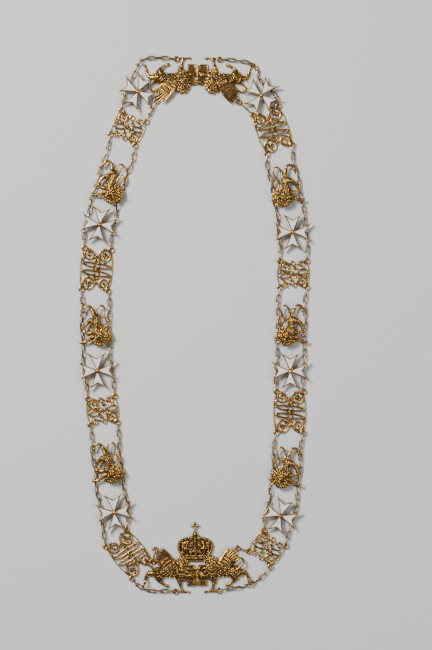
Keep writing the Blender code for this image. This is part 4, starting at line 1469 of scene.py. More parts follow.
def lion_face(cast, x, y, z, size, turn):
    """Brow, eyes, nose, muzzle and ears of a lion that looks at the viewer."""
    for part in FACE:
        wide, tall, thick = (radius * size for radius in part.radii)
        cast.lump(*turned_point(x, y, turn, part.x * size, part.y * size),
                  z + part.z * size * FACE_RELIEF, (wide, tall, thick * FACE_RELIEF),
                  turn + part.lean)


def head_crown(cast, x, y, z, size, turn):
    """Crown of a pearled band under a fan of round lobes."""

    def at(across, up):
        return turned_point(x, y, turn, across * size, up * size)

    def on_band(across, up):
        return at(across, up + HEAD_BAND_BOW * across ** 2)

    for across, up, lean in HEAD_LOBES:
        cast.lump(*at(across, up), z - LOBE.sink, (LOBE.wide * size, LOBE.tall * size, LOBE.thick),
                  turn + lean)
        cast.bead(*at(across * LOBE_BEAD.spread, up + LOBE_BEAD.up), z - LOBE_BEAD.sink,
                  LOBE_BEAD.radius * size)
        cast.bead(*on_band(across, HEAD_BAND_BEAD.up), z + HEAD_BAND_BEAD.lift * size,
                  HEAD_BAND_BEAD.radius * size)
    for up, radius in HEAD_BANDS:
        cast.bar([(*on_band(across, up), z, radius * size) for across in HEAD_BAND_ACROSS])


def add_mane(cast, middle, locks, dome, curls):
    """Rings of pointed locks round a head, and curls over a dome."""
    for row in locks:
        cast.fringe(*middle, *row)
    cast.curls(*middle, *dome, curls)


# Crowned lion, seen from the front of its right-hand side: +x outwards, head to the front.
# All in hundredths of its length, and a limb's points are x, y and radius.
LION_LIMBS = table(
    "name height points",
    ("body", 4, ((-4, 27, 4.0), (-3, 18, 5.8), (-1, 7, 7.0), (0, -5, 8.5), (0, -16, 9.0))),
    ("upper thigh", 4, ((-2, 22, 5.5), (3, 29, 5.4), (6, 37, 4.2))),
    ("upper hind leg", 3, ((6, 36, 4.2), (9, 43, 3.6), (15, 46.5, 3.2), (22, 45, 3.2), (25, 39, 3.0))),
    ("lower thigh", 4, ((0, 9, 7.0), (7, 14, 6.6), (14, 12, 5.4))),
    ("lower hind leg", 3, ((13, 12, 5.2), (19, 7, 4.4), (23, 0, 3.8), (25, -6, 3.4))),
    ("upper foreleg", 4, ((3, -12, 5.5), (11, -15, 4.4), (17, -15, 3.4), (22, -13, 3.0))),
    ("lower foreleg", 4, ((5, -22, 6.0), (14, -29, 4.8), (22, -34, 3.6), (29, -36, 3.2))),
    ("neck", 4, ((-2, -12, 7.5), (-4, -24, 7.5), (0, -36, 6.0))),
    ("tail root", 4, ((-4, 26, 2.6), (-5, 36, 2.3), (-9, 44, 2.2), (-16, 46.5, 2.2), (-22, 41, 2.2),
                      (-22, 31, 2.2), (-17, 19, 2.2), (-14, 8, 2.2), (-18, -1, 2.2), (-25, 0, 2.2),
                      (-28, 8, 2.3), (-25, 16, 2.6), (-20, 20, 1.8))),
)
# Lumps of mane, thighs and chest
LION_LUMPS = table(
    "x y z radii turn",
    (-11, -22, 3, (20.5, 17.5, 7.8), 0),
    (2, 25, 5, (5.5, 8.5, 6.0), -28),
    (7, 13, 5, (8.0, 6.0, 6.6), -12),
    (1, -6, 4, (8.5, 10, 6.8), 0),
)
# Mane: its middle, the dome under its curls as height, radii and wire, rings of curls by share of
# the dome's radii, and rings of pointed locks
LION_MANE_MIDDLE = (-11, -22)
LION_MANE_DOME = (3, (21.4, 18.4, 9.2), 1.1)
LION_CURLS = table("share count radius", (0.72, 13, 3.3), (0.98, 19, 3.0))
LION_MANE = table(
    "z radii count length width",
    (4, (20.5, 17.5), 22, 6.5, 2.3), (7.6, (14.5, 12.2), 18, 6.0, 2.1),
    (10.4, (10.2, 9.6), 15, 4.6, 1.8),
)
# Fur: points of a limb, spacing of the rows, and slopes of the tufts across it
LION_TUFT = {"lift": 4.5, "length": 4.6, "width": 1.2}
LION_FUR = table(
    "points spacing slopes",
    (((-3, 20, 5.4), (-2, 8, 6.8), (0, -6, 8.0), (1, -13, 8.4)), 4.0, (-60, -20, 20, 60)),
    (((2, 10, 6.0), (7, 14, 5.6), (13, 12, 4.6)), 4.6, (-45, 0, 45)),
    (((7, -23, 5.0), (14, -29, 4.4), (20, -33, 3.6)), 4.4, (-45, 0, 45)),
)
# Loose locks of the mane and the tail's end, and tufts on the legs
LION_LOCKS = table(
    "x y z heading length width bend",
    (-30, -26, 4, 186, 12, 3.4, -25), (-28, -16, 4, 150, 9, 3.0, -50), (-27, -35, 4, 215, 9, 3.0, 50),
    (-26, 14, 4, 130, 7, 2.4, -60), (-24, 17, 4, 95, 7, 2.4, -50), (-27, 11, 4, 160, 7, 2.4, -50),
    (19, 44, 4, 80, 5, 1.6, 40), (21, 6, 4, 20, 5, 1.6, 40), (16, -12, 4, 60, 5, 1.6, 40),
    (20, -35, 4, -70, 5, 1.6, 40), (9, 42, 4, 150, 5, 1.6, 40), (5, 37, 4, 190, 5, 1.6, 30),
)
LION_HIP_CURLS = table(
    "x y z radius wire start turns hand",
    (2, 24, 10.0, 4.6, 1.3, 40, 1.4, -1), (8, 13, 10.4, 4.2, 1.3, 200, 1.4, 1),
)
LION_PAWS = table(
    "x y z heading size",
    (26, 36, 3, -80, 3.6), (26, -10, 3, -70, 3.6), (24, -12, 4, 20, 3.6), (32, -36, 4, -5, 3.6),
)
# Face and crown of its head
LION_FACE = {"x": -10, "y": -21.5, "z": 11.0, "size": 8.8, "turn": 197}
LION_CROWN = {"x": -6, "y": -34.5, "z": 9.5, "size": 11.5, "turn": 197}


def crowned_lion_mesh(size):
    """Crowned lion, rearing to the front with its paws outwards."""
    cast = Casting(LION_LENGTH, seed=11)
    cast.limbs(LION_LIMBS)
    for row in LION_PAWS:
        cast.paw(*row)
    for row in LION_LUMPS:
        cast.lump(*row)
    add_mane(cast, LION_MANE_MIDDLE, LION_MANE, LION_MANE_DOME, LION_CURLS)
    for row in LION_LOCKS:
        cast.lock(*row)
    lion_face(cast, **LION_FACE)
    head_crown(cast, **LION_CROWN)
    for row in LION_FUR:
        cast.fur(*row, **LION_TUFT)
    for row in LION_HIP_CURLS:
        cast.curl(*row)
    return cast.fuse("crowned_lion", size.lion_voxel, size.depth,
                     node_height("crowned_lion_right_1"))


class COLLAR_OT_crowned_lions(Operator):
    """Set a crowned lion at each of its places"""

    bl_idname = "collar.crowned_lions"
    bl_label = "Crowned Lions"

    def execute(self, context):
        shape = crowned_lion_mesh(context.scene.collar_relief)
        for label, seat in COLLAR.of("crowned_lion_"):
            show_casting(f"lion_{label}", shape, seat.matrix(UPPER_BACK, True),
                         f"crowned_lion_{label}")
        bpy.data.meshes.remove(shape)
        return {"FINISHED"}


# Winged lion, facing the middle: x outwards, y inwards from the ground line. All in hundredths of
# its reach.
WINGED_LIMBS = table(
    "name height points",
    ("planted foreleg", 3, ((33, 32, 6.5), (32, 20, 4.0), (30, 11, 2.6), (28, 3, 2.8))),
    ("raised foreleg", 6, ((30, 38, 5.0), (22, 30, 3.4), (15, 31, 3.0))),
    ("body", 2, ((34, 38, 9.0), (46, 37, 9.5), (58, 37, 8.5), (72, 38, 10.0))),
    ("near hind leg", 4, ((68, 30, 7.0), (70, 23, 4.6), (65, 18, 3.0), (60, 14, 2.8))),
    ("far hind leg", 3, ((76, 36, 6.5), (88, 36, 4.2), (95, 28, 2.8))),
    ("throat", 3, ((27, 48, 7.0), (29, 34, 7.0), (32, 22, 4.0))),
)
TAIL = ((62, 44, 2.2, 5), (72, 56, 2.1), (80, 62, 2.1), (86, 60, 2.1), (88, 53, 2.1), (82, 47, 2.1),
        (75, 42, 2.2))
FAR_PAW = ((94, 30, 3.0, 3), (95, 24, 2.6), (96, 19, 2.4), (98, 15, 2.2))
# In front, the tails pass over the last scroll links and the far paws stand on the strand.
# At the back both lie low, under the first crosses.
END_HEIGHTS = {"front": {"tail": 11, "far paw": 12.5}, "back": {"tail": 4, "far paw": 3}}
# Book: its low and high corner, border and its wire, cross bands, corner bosses, and the boss and
# ring in its middle
BOOK = (3, 11, 19, 50)
BOOK_BORDER = 1
BOOK_WIRE = 1.0
BOOK_BANDS = (20, 42)
BOOK_CORNER = SimpleNamespace(side=3.5, low=4.5, high=4, radius=1.6)
BOOK_MIDDLE = (10, 31)
BOOK_BOSS = (6.0, 6.5, 3.2)
BOOK_RING = SimpleNamespace(lift=1.2, radius=5.2, wire=0.9)

# Tips of the long feathers, from the leading edge back, and the line of their roots
FEATHER_TIPS = ((62, 83), (66.5, 82), (70.5, 79.5), (74, 76), (76, 71.5), (76.5, 66), (75, 60.5),
                (71, 55))
FEATHER_ROOTS = ((40, 51), (57, 42))
# Height of the first feather, fall to the last, dip of the tip, bow aside, thickness against width
# and radii at root, middle and tip
FEATHER = SimpleNamespace(height=9.2, fall=5.0, dip=0.6, bow=2.2, flat=0.75, radii=(2.6, 2.5, 1.3))
FEATHER_STEPS = 5
# Quill along a feather: its radius, and its lift in shares of the feather's own
QUILL = SimpleNamespace(radius=0.62, lift=0.62)
# Short feathers over the roots by their share of the way out, then their length, bend and drop
COVERTS = table("share aside rise width", (0.02, 0.0, 2.5, 2.3), (0.19, 1.2, 1.8, 2.1),
                (0.36, 0.0, 1.1, 1.9))
COVERT = {"length": 7.5, "bend": 12, "drop": 1.2}
# Leading edge and shoulder of the wing, through points of x, y, z and radius, and curls there
WING_BARS = (
    ((37, 46, 9.5, 3.4), (43, 58, 10.0, 3.0), (52, 71, 9.5, 2.2), (60, 80, 8.5, 1.5)),
    ((40, 44, 8, 5.0), (46, 46, 8, 5.0), (53, 44, 6, 4.5)),
)
WING_CURLS = table(
    "x y z radius wire start turns",
    (41, 47, 12.0, 4.2, 1.0, 77, 1.3), (48, 46, 12.0, 3.6, 1.0, 336, 1.3),
    (54, 44, 12.0, 3.0, 1.0, 198, 1.3),
)

# Lumps of the mane, haunch, shoulder and raised paw
WINGED_LUMPS = table(
    "x y z radii turn",
    (28, 43, 2.5, (13, 20, 9.6), 0),
    (72, 37, 3, (11.5, 11, 8.5), 0),
    (44, 40, 4, (9, 8, 8.5), 0),
    (12, 31, 5, (5.5, 5.5, 4.5), 0),
)
# Mane, face, fur and loose locks, laid out as the crowned lion's
WINGED_MANE_MIDDLE = (28, 43)
WINGED_MANE_DOME = (2.5, (13.4, 20.4, 10.6), 0.95)
WINGED_CURLS = table("share count radius", (0.68, 12, 3.0), (0.93, 18, 2.7))
WINGED_MANE = table(
    "z radii count length width", (3, (13, 20), 24, 5.5, 1.9), (11.2, (7.0, 9.5), 14, 4.8, 1.7))
WINGED_FACE = {"x": 27, "y": 45, "z": 11.8, "size": 6.4, "turn": -6}
WINGED_TUFT = {"lift": 2.4, "length": 4.2, "width": 1.2}
WINGED_FUR = table(
    "points spacing slopes",
    (((40, 37, 11.0), (50, 37, 10.0), (60, 37, 9.5), (65, 38, 9.5)), 3.8, (-65, -30, 0, 30, 65)),
    (((33, 30, 6.0), (32, 22, 4.4), (30, 13, 3.0)), 3.6, (-50, 0, 50)),
    (((76, 33, 6.0), (84, 36, 4.4), (90, 34, 3.4)), 4.0, (-50, 0, 50)),
)
WINGED_LOCKS = table(
    "x y z heading length width bend",
    (64, 28, 5, 250, 6, 1.7, 40), (75, 27, 5, 290, 6, 1.7, -40), (82, 33, 5, 300, 6, 1.7, -60),
    (90, 33, 5, 300, 6, 1.7, -40), (88, 39, 5, 40, 6, 1.7, 60), (31, 22, 5, 200, 5, 1.5, -50),
    (34, 24, 5, 340, 5, 1.5, 50), (96, 24, 10, 20, 4, 1.3, 40),
)
# Curl and bead on its haunch
HAUNCH_CURL = {"x": 72, "y": 37, "z": 11.0, "radius": 8.5, "wire": 1.4, "start": 160,
               "turns": 1.9, "hand": -1}
HAUNCH_BEAD = (72, 37, 12.0, 2.0)
WINGED_PAWS = table(
    "x y z heading size",
    (57, 13, 4, 200, 3.2), (28, 2, 3, 190, 3.0), (12, 31, 7, 185, 3.6),
)
# Pad at the end of the far paw, and the locks at the end of the tail
FAR_PAW_PAD = SimpleNamespace(ahead=1, heading=290, size=2.6)
TAIL_TUFT = table("heading bend", (215, 30), (250, -30), (185, 50))
TAIL_END = (77, 43)
TUFT_LENGTH = 7
TUFT_WIDTH = 1.8
# Ground bar with its bead, and the bar from the wing to the inner eye
GROUND_BAR = ((15, 0, 2.0, 1.7), (36, 0, 2.0, 1.7))
GROUND_BEAD = (15, 0, 2.6, 2.9)
EYE_BAR = ((70, 72, 3, 2.2), (73, 76, 4, 1.8))


def add_book(cast):
    """Book with a raised border, corner bosses and a middle boss under the paw."""
    x0, y0, x1, y1 = BOOK
    top = 100 * BOOK_THICK / WINGED_REACH
    cast.block(x0, y0, x1, y1, -1, top)
    left, right = x0 + BOOK_BORDER, x1 - BOOK_BORDER
    low, high = y0 + BOOK_BORDER, y1 - BOOK_BORDER
    for x in (left, right):
        cast.wire([(x, low, top, BOOK_WIRE), (x, high, top, BOOK_WIRE)])
    for y in (low, high, *BOOK_BANDS):
        cast.wire([(left, y, top, BOOK_WIRE), (right, y, top, BOOK_WIRE)])
    for x in (x0 + BOOK_CORNER.side, x1 - BOOK_CORNER.side):
        for y in (y0 + BOOK_CORNER.low, y1 - BOOK_CORNER.high):
            cast.bead(x, y, top, BOOK_CORNER.radius)
    cast.lump(*BOOK_MIDDLE, top, BOOK_BOSS)
    cast.ring(*BOOK_MIDDLE, top + BOOK_RING.lift, BOOK_RING.radius, BOOK_RING.wire)


def add_wing(cast):
    """Wing of long feathers under rows of short ones, behind a rolled leading edge."""
    first, last = (Vector(point) for point in FEATHER_ROOTS)
    for i, tip in enumerate(FEATHER_TIPS):
        share = i / (len(FEATHER_TIPS) - 1)
        root = first.lerp(last, share)
        out = Vector(tip) - root
        height = FEATHER.height - FEATHER.fall * share
        side = Vector((-out.y, out.x)).normalized()
        middle = root.lerp(Vector(tip), 0.5) + side * FEATHER.bow
        near, mid, far = FEATHER.radii
        vane = smooth([(*root, height, near), (*middle, height, mid),
                       (*tip, height - FEATHER.dip, far)], FEATHER_STEPS)
        cast.bar(vane, flat=FEATHER.flat, steps=1)
        cast.wire([(x, y, z + QUILL.lift * r, QUILL.radius) for x, y, z, r in vane[1:-1]])
        heading = math.degrees(math.atan2(out.y, out.x))
        for row in COVERTS:
            x, y = root.lerp(Vector(tip), row.share) + side * row.aside
            cast.lock(x, y, height + row.rise, heading, width=row.width, **COVERT)
    for points in WING_BARS:
        cast.bar(points)
    for row in WING_CURLS:
        cast.curl(*row)


def winged_lion_mesh(end, size):
    """Winged lion that looks at the viewer, with its book, ground bar and two eyes."""
    cast = Casting(WINGED_REACH, seed=5)
    tail, far = END_HEIGHTS[end]["tail"], END_HEIGHTS[end]["far paw"]
    cast.limbs([*WINGED_LIMBS, ("tail", tail, TAIL), ("far paw", far, FAR_PAW)])
    add_book(cast)
    add_wing(cast)
    for row in WINGED_LUMPS:
        cast.lump(*row)
    add_mane(cast, WINGED_MANE_MIDDLE, WINGED_MANE, WINGED_MANE_DOME, WINGED_CURLS)
    lion_face(cast, **WINGED_FACE)
    for row in WINGED_FUR:
        cast.fur(*row, **WINGED_TUFT)
    cast.curl(**HAUNCH_CURL)
    cast.bead(*HAUNCH_BEAD)
    for row in WINGED_LOCKS:
        cast.lock(*row)
    for row in WINGED_PAWS:
        cast.paw(*row)
    x, y = FAR_PAW[-1][:2]
    cast.paw(x, y + FAR_PAW_PAD.ahead, far, FAR_PAW_PAD.heading, FAR_PAW_PAD.size)
    for heading, bend in TAIL_TUFT:
        cast.lock(*TAIL_END, tail, heading, TUFT_LENGTH, TUFT_WIDTH, bend)
    cast.bar(GROUND_BAR)
    cast.bead(*GROUND_BEAD)
    unit = 100 / WINGED_REACH
    for x, y in (OUTER_EYE, INNER_EYE):
        cast.ring(x, y, STRAND_MID * unit, EYE_RADIUS * unit, EYE_WIRE * unit)
    cast.bar(EYE_BAR)
    return cast.fuse(f"winged_lion_{end}", size.winged_voxel, size.depth,
                     node_height(f"winged_lion_{end}_right"))


class COLLAR_OT_winged_lions(Operator):
    """Set the paired winged lions of the front piece and the back piece"""

    bl_idname = "collar.winged_lions"
    bl_label = "Winged Lions"

    def execute(self, context):
        for end in END_HEIGHTS:
            shape = winged_lion_mesh(end, context.scene.collar_relief)
            for side, seat in COLLAR.of(f"winged_lion_{end}_"):
                show_casting(f"guardian_{end}_{side}", shape, seat.matrix(0.0, True),
                             f"winged_lion_{end}_{side}")
            bpy.data.meshes.remove(shape)
        return {"FINISHED"}


# Arrow bundle: lean of each arrow from one side to the other, in shares of half its width, and
# height of its middle arrow over the outer ones
ARROWS = (-1.0, -0.5, 0.0, 0.5, 1.0)
ARROW = SimpleNamespace(top=0.55, foot=0.62, lift=1.2, rise=0.6)
# Shaft, head and vanes: shares of the spread at top or foot and of the height, shift and radius
SHAFT = SimpleNamespace(top=0.93, waist=0.55, waist_spread=0.5, end=0.6, radius=0.5)
ARROW_HEAD = table("spread up shift radius", (0.95, 0.84, 0.0, 1.0), (1.1, 1.0, -0.3, 0.25))
ARROW_VANE = table("spread aside up shift radius", (0.82, 0.0, 0.2, 0.0, 0.35),
                   (1.0, 0.5, 0.0, 0.5, 0.5))
ARROW_FINENESS = 0.8
# Bands round its waist: share of its height, their spacing, and the points of each
BINDING_PLACE = 0.52
BINDING_SPACING = 0.95
BINDING_POINTS = table("x z radius", (-1.5, 1.2, 0.55), (0, 2.5, 0.6), (1.5, 1.2, 0.55))


def arrow_bundle_mesh(size):
    """Sheaf of arrows, spread at its ends and bound at its waist."""
    cast = Casting(100 / MILLIMETRES)
    base, height, half = (MILLIMETRES * value for value in
                          (BUNDLE_BASE, BUNDLE_HEIGHT, BUNDLE_WIDTH / 2))
    for lean in ARROWS:
        top, foot = lean * half * ARROW.top, -lean * half * ARROW.foot
        lift = ARROW.lift + ARROW.rise * (1 - abs(lean))
        shaft = ((top, height * SHAFT.top), (lean * SHAFT.waist_spread, height * SHAFT.waist),
                 (foot, SHAFT.end))
        cast.bar([(x, base + y, lift, SHAFT.radius) for x, y in shaft])
        cast.wire([(top * row.spread, base + height * row.up + row.shift, lift, row.radius)
                   for row in ARROW_HEAD])
        for way in (-1, 1):
            cast.wire([(foot * row.spread + way * row.aside, base + height * row.up + row.shift,
                        lift, row.radius) for row in ARROW_VANE])
    for k in (-1, 0, 1):
        y = base + height * BINDING_PLACE + k * BINDING_SPACING
        cast.bar([(x, y, z, radius) for x, z, radius in BINDING_POINTS])
    return cast.fuse("arrow_bundle", size.winged_voxel * ARROW_FINENESS, size.depth,
                     node_height("arrow_bundle_front"))


class COLLAR_OT_arrow_bundles(Operator):
    """Lay an arrow bundle over the books of each pair of winged lions"""

    bl_idname = "collar.arrow_bundles"
    bl_label = "Arrow Bundles"

    def execute(self, context):
        shape = arrow_bundle_mesh(context.scene.collar_relief)
        for end in END_HEIGHTS:
            name = f"arrow_bundle_{end}"
            matrix = COLLAR.seats[name].matrix(BOOK_THICK + TOUCH, False)
            show_casting(f"arrows_{end}", shape, matrix, name)
        bpy.data.meshes.remove(shape)
        return {"FINISHED"}


# Crown: x from its middle and y up from its rim, in hundredths of its width
CROWN_BARS = table(
    "name height points",
    ("rim", 6, ((-35, 4, 2.4), (-20, 1.5, 2.8), (0, 0.5, 3.0), (20, 1.5, 2.8), (35, 4, 2.4))),
    ("circlet", 6, ((-36, 11, 4.8), (-20, 9, 5.6), (0, 8, 6.0), (20, 9, 5.6), (36, 11, 4.8))),
    ("upper rim", 8.5, ((-38, 17.5, 2.0), (-22, 15.5, 2.3), (0, 15, 2.4), (22, 15.5, 2.3),
                        (38, 17.5, 2.0))),
    ("left arch", 6, ((-36, 15, 4.0), (-44, 31, 4.4), (-45, 47, 4.4), (-37, 58, 4.2), (-20, 64, 3.8),
                      (0, 68, 3.8))),
    ("right arch", 6, ((36, 15, 4.0), (44, 31, 4.4), (45, 47, 4.4), (37, 58, 4.2), (20, 64, 3.8),
                       (0, 68, 3.8))),
    ("middle arch", 8, ((0, 16, 4.2), (0, 34, 4.4), (0, 52, 4.8), (0, 67, 5.2))),
    ("left near arch", 7, ((-21, 16, 3.0), (-27, 36, 3.2), (-17, 56, 3.0), (0, 67, 3.0))),
    ("right near arch", 7, ((21, 16, 3.0), (27, 36, 3.2), (17, 56, 3.0), (0, 67, 3.0))),
    ("cross post", 9, ((0, 80, 2.4), (0, 98, 2.0))),
)
# Pearls along the bars whose names hold a word: lift in shares of the bar's radius
CROWN_PEARLS = table(
    "word lift spacing radius", ("arch", 0.9, 4.6, 1.9), ("rim", 0.8, 3.4, 1.15))
# Cap between the arches
CAP_MIDDLE = 38
CAP_RADII = (43, 26)
# Jewels of the circlet, by turns a set stone and a round one in a ring
JEWELS = 9
JEWEL_SPACING = 8
JEWEL_HEIGHT = 12
CIRCLET_LOW = 8.5
CIRCLET_BOW = 2.5
CIRCLET_HALF = 34
STONE_RADII = (3.2, 2.2, 1.9)
STONE_LEAN = 0.25
JEWEL_RING = {"z": 12, "radius": 2.3, "wire": 0.8, "sides": 12}
ROUND_JEWEL = (12.4, 1.4)
# Stars between the arches: eight rays, long and short by turns, round a ringed bead
STARS = table("x y reach", (0, 28, 8.0), (-24, 35, 7.0), (24, 35, 7.0))
STAR_RAYS = 8
SHORT_RAY = 0.62
RAY_MIDDLE = (11, 1.6)
RAY_TIP = (10.5, 2.5)
STAR_RING = {"z": 13.0, "radius": 2.8, "wire": 0.8, "sides": 12}
STAR_BEAD = (13.4, 2.0)
# Scrolls and stems of its right half
CROWN_SCROLLS = table(
    "x y radius start hand",
    (13, 24, 4.2, 160, 1), (12, 43, 4.2, 120, -1), (36, 24, 4.0, 0, -1), (33, 50, 4.4, 240, 1),
    (22, 54, 3.4, 160, -1),
)
CROWN_SCROLL = SimpleNamespace(z=9.5, wire=1.15, turns=1.4)
CROWN_STEMS = table("x foot head", (12, 16, 34), (36, 18, 40))
STEM = SimpleNamespace(low=9, high=10, radius=1.5, bead_z=11, bead=2.1)
# Orb: its middle, its size against the CAD one's, its band in shares of its radius, and its post
ORB_Y = 75
ORB_FIT = 0.92
ORB_BAND = table("across height", (-1, 5), (-0.7, 12), (0, 15), (0.7, 12), (1, 5))
ORB_BAND_WIRE = 1.2
ORB_POST = ((0, 75, 15, 1.3), (0, 84, 11, 1.6))
# Cross on the orb: its middle, the arm's points by way out, and the arm's end
TOP_CROSS = (98, 9)
TOP_ARM = table("out radius", (0, 2.0), (5, 3.0), (8, 4.2))
TOP_ARM_FLAT = 0.7
TOP_END = SimpleNamespace(out=8.4, least=1.6, more=3.2, thick=2.2)
TOP_BEAD = (10.5, 2.2)


def add_jewels(cast):
    """Set stones and ringed round ones by turns along the circlet."""
    for i in range(JEWELS):
        x = JEWEL_SPACING * (i - JEWELS // 2)
        y = CIRCLET_LOW + CIRCLET_BOW * (x / CIRCLET_HALF) ** 2
        if i % 2:
            cast.lump(x, y, JEWEL_HEIGHT, STONE_RADII, STONE_LEAN * x)
        else:
            cast.ring(x, y, **JEWEL_RING)
            cast.bead(x, y, *ROUND_JEWEL)


def add_star(cast, x, y, reach):
    """Star of long and short rays round a ringed bead."""
    for k in range(STAR_RAYS):
        angle = math.tau * k / STAR_RAYS
        out = reach * (SHORT_RAY if k % 2 else 1.0)
        tip = (x + out * math.cos(angle), y + out * math.sin(angle), *RAY_TIP)
        cast.wire([(x, y, *RAY_MIDDLE), tip])
    cast.ring(x, y, **STAR_RING)
    cast.bead(x, y, *STAR_BEAD)


def add_scrolls(cast, way):
    """Scrolls and beaded stems of one half of the crown: way is +1 for the right half."""
    for x, y, radius, start, hand in CROWN_SCROLLS:
        cast.curl(way * x, y, CROWN_SCROLL.z, radius, CROWN_SCROLL.wire, start, CROWN_SCROLL.turns,
                  way * hand)
    for x, foot, head in CROWN_STEMS:
        cast.bar([(way * x, foot, STEM.low, STEM.radius), (way * x, head, STEM.high, STEM.radius)],
                 sides=6)
        cast.bead(way * x, head, STEM.bead_z, STEM.bead)


def add_orb(cast, unit):
    """Orb with a band over it, and its cross."""
    orb = ORB_RADIUS * unit * ORB_FIT
    cast.bead(0, ORB_Y, ORB_LIFT * unit, orb)
    cast.bar([(orb * across, ORB_Y, z, ORB_BAND_WIRE) for across, z in ORB_BAND], sides=6)
    cast.wire(ORB_POST)
    y, z = TOP_CROSS
    for dx, dy in ((0, 1), (0, -1), (1, 0), (-1, 0)):
        cast.bar([(dx * out, y + dy * out, z, radius) for out, radius in TOP_ARM],
                 flat=TOP_ARM_FLAT)
        wide, tall = (TOP_END.least + TOP_END.more * abs(share) for share in (dy, dx))
        cast.lump(dx * TOP_END.out, y + dy * TOP_END.out, z, (wide, tall, TOP_END.thick))
    cast.bead(0, y, *TOP_BEAD)


def crown_mesh(size):
    """Arched crown with a jewelled circlet, pearled arches, an orb and a cross."""
    cast = Casting(CROWN_WIDTH)
    unit = 100 / CROWN_WIDTH
    cast.limbs(CROWN_BARS)
    cast.lump(0, CAP_MIDDLE, 0, (*CAP_RADII, CROWN_CAP_RISE * unit))
    for name, lift, points in CROWN_BARS:
        for pearls in CROWN_PEARLS:
            if pearls.word in name:
                cast.beads([(x, y, lift + r * pearls.lift) for x, y, r in points],
                           pearls.spacing, pearls.radius)
    add_jewels(cast)
    for row in STARS:
        add_star(cast, *row)
    for way in (-1, 1):
        add_scrolls(cast, way)
    add_orb(cast, unit)
    return cast.fuse("crown", size.winged_voxel, size.depth, node_height("crown"))


class COLLAR_OT_crown(Operator):
    """Set the crown on the front piece"""

    bl_idname = "collar.crown"
    bl_label = "Crown"

    def execute(self, context):
        shape = crown_mesh(context.scene.collar_relief)
        show_casting("royal_crown", shape, COLLAR.seats["crown"].matrix(0.0, False), "crown")
        bpy.data.meshes.remove(shape)
        return {"FINISHED"}


# Lights aimed at the middle of the collar, with the setting that holds their power
LIGHTS = table(
    "name place size colour power",
    ("key", (-1.1, 0.9, 1.9), 0.75, (1.0, 0.97, 0.92), "key_power"),
    ("fill", (0.95, -0.35, 1.25), 0.9, (0.92, 0.96, 1.0), "fill_power"),
    ("top", (0, 0, 2.4), 1.6, (1.0, 0.99, 0.97), "top_power"),
)
LIGHT_TARGET = Vector((0, 0, 0))
SKY_COLOUR = (1.0, 0.99, 0.97, 1)
FLOOR_ROUGHNESS = 0.85


def area_light(name, place, size, colour, power):
    """A square soft light aimed at the middle of the collar."""
    lamp = bpy.data.lights.new(name, "AREA")
    lamp.size = size
    lamp.energy = power
    lamp.color = colour
    holder = bpy.data.objects.new(name, lamp)
    holder.location = place
    holder.rotation_euler = (LIGHT_TARGET - Vector(place)).to_track_quat("-Z", "Y").to_euler()
    bpy.context.scene.collection.objects.link(holder)


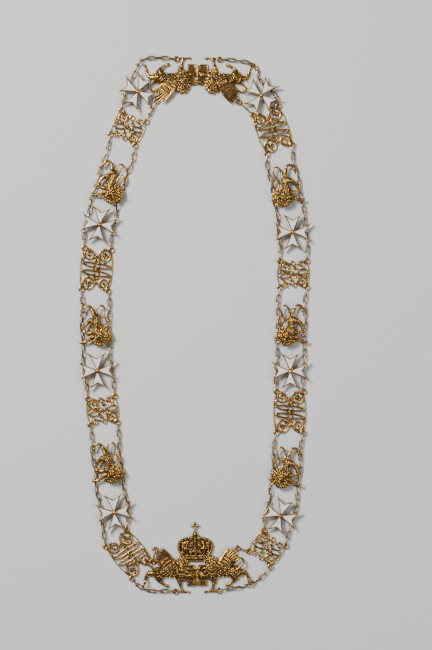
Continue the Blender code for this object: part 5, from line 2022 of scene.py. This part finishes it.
class COLLAR_OT_stage(Operator):
    """Make the pale floor, the lights and the camera"""

    bl_idname = "collar.stage"
    bl_label = "Stage"

    def execute(self, context):
        look = context.scene.collar_stage
        bm = bmesh.new()
        bmesh.ops.create_grid(bm, x_segments=1, y_segments=1, size=look.floor_size / 2)
        bmesh.ops.translate(bm, vec=(0, 0, -TOUCH), verts=bm.verts)
        floor = bpy.data.objects.new("floor", to_mesh(bm, "floor"))
        skin, _, surface = start_material("pale_floor")
        surface.inputs["Base Color"].default_value = (*look.floor_colour, 1)
        surface.inputs["Roughness"].default_value = FLOOR_ROUGHNESS
        floor.data.materials.append(skin)
        context.scene.collection.objects.link(floor)
        for name, place, size, colour, power in LIGHTS:
            area_light(name, place, size, colour, getattr(look, power))
        world = bpy.data.worlds.new("studio")
        world.use_nodes = True
        sky = world.node_tree.nodes["Background"].inputs
        sky["Color"].default_value = SKY_COLOUR
        sky["Strength"].default_value = look.sky
        context.scene.world = world
        camera = bpy.data.objects.new("camera", bpy.data.cameras.new("camera"))
        camera.data.lens = camera.data.sensor_width * look.camera_height / look.frame_height
        camera.location = (look.frame_shift, 0, look.camera_height)
        context.scene.collection.objects.link(camera)
        context.scene.camera = camera
        return {"FINISHED"}


class COLLAR_PT_build(Panel):
    """Buttons for the pieces of the collar, with their sizes"""

    bl_label = "Order Collar"
    bl_idname = "COLLAR_PT_build"
    bl_space_type = "VIEW_3D"
    bl_region_type = "UI"
    bl_category = "Collar"

    def draw(self, context):
        for operator, _ in STEPS:
            self.layout.operator(operator.bl_idname)
        for holder, group_class in GROUPS.items():
            box = self.layout.box()
            settings = getattr(context.scene, holder)
            for key in group_class.__annotations__:
                box.prop(settings, key)


STEPS = (
    (COLLAR_OT_chains, bpy.ops.collar.chains),
    (COLLAR_OT_crosses, bpy.ops.collar.crosses),
    (COLLAR_OT_scroll_links, bpy.ops.collar.scroll_links),
    (COLLAR_OT_crowned_lions, bpy.ops.collar.crowned_lions),
    (COLLAR_OT_winged_lions, bpy.ops.collar.winged_lions),
    (COLLAR_OT_arrow_bundles, bpy.ops.collar.arrow_bundles),
    (COLLAR_OT_crown, bpy.ops.collar.crown),
    (COLLAR_OT_stage, bpy.ops.collar.stage),
)
GROUPS = {
    "collar_chain": ChainSizes,
    "collar_cross": CrossSizes,
    "collar_relief": ReliefSizes,
    "collar_finish": FinishColours,
    "collar_stage": StageSizes,
}


def register():
    """Registers the settings, the operators and the panel."""
    for holder, group_class in GROUPS.items():
        bpy.utils.register_class(group_class)
        setattr(Scene, holder, PointerProperty(type=group_class))
    for operator, _ in STEPS:
        bpy.utils.register_class(operator)
    bpy.utils.register_class(COLLAR_PT_build)


def unregister():
    """Takes out what was registered."""
    bpy.utils.unregister_class(COLLAR_PT_build)
    for operator, _ in reversed(STEPS):
        bpy.utils.unregister_class(operator)
    for holder, group_class in reversed(GROUPS.items()):
        delattr(Scene, holder)
        bpy.utils.unregister_class(group_class)


def main():
    """Builds every piece and the stage."""
    register()
    for _, build in STEPS:
        build()


if __name__ == "__main__":
    main()
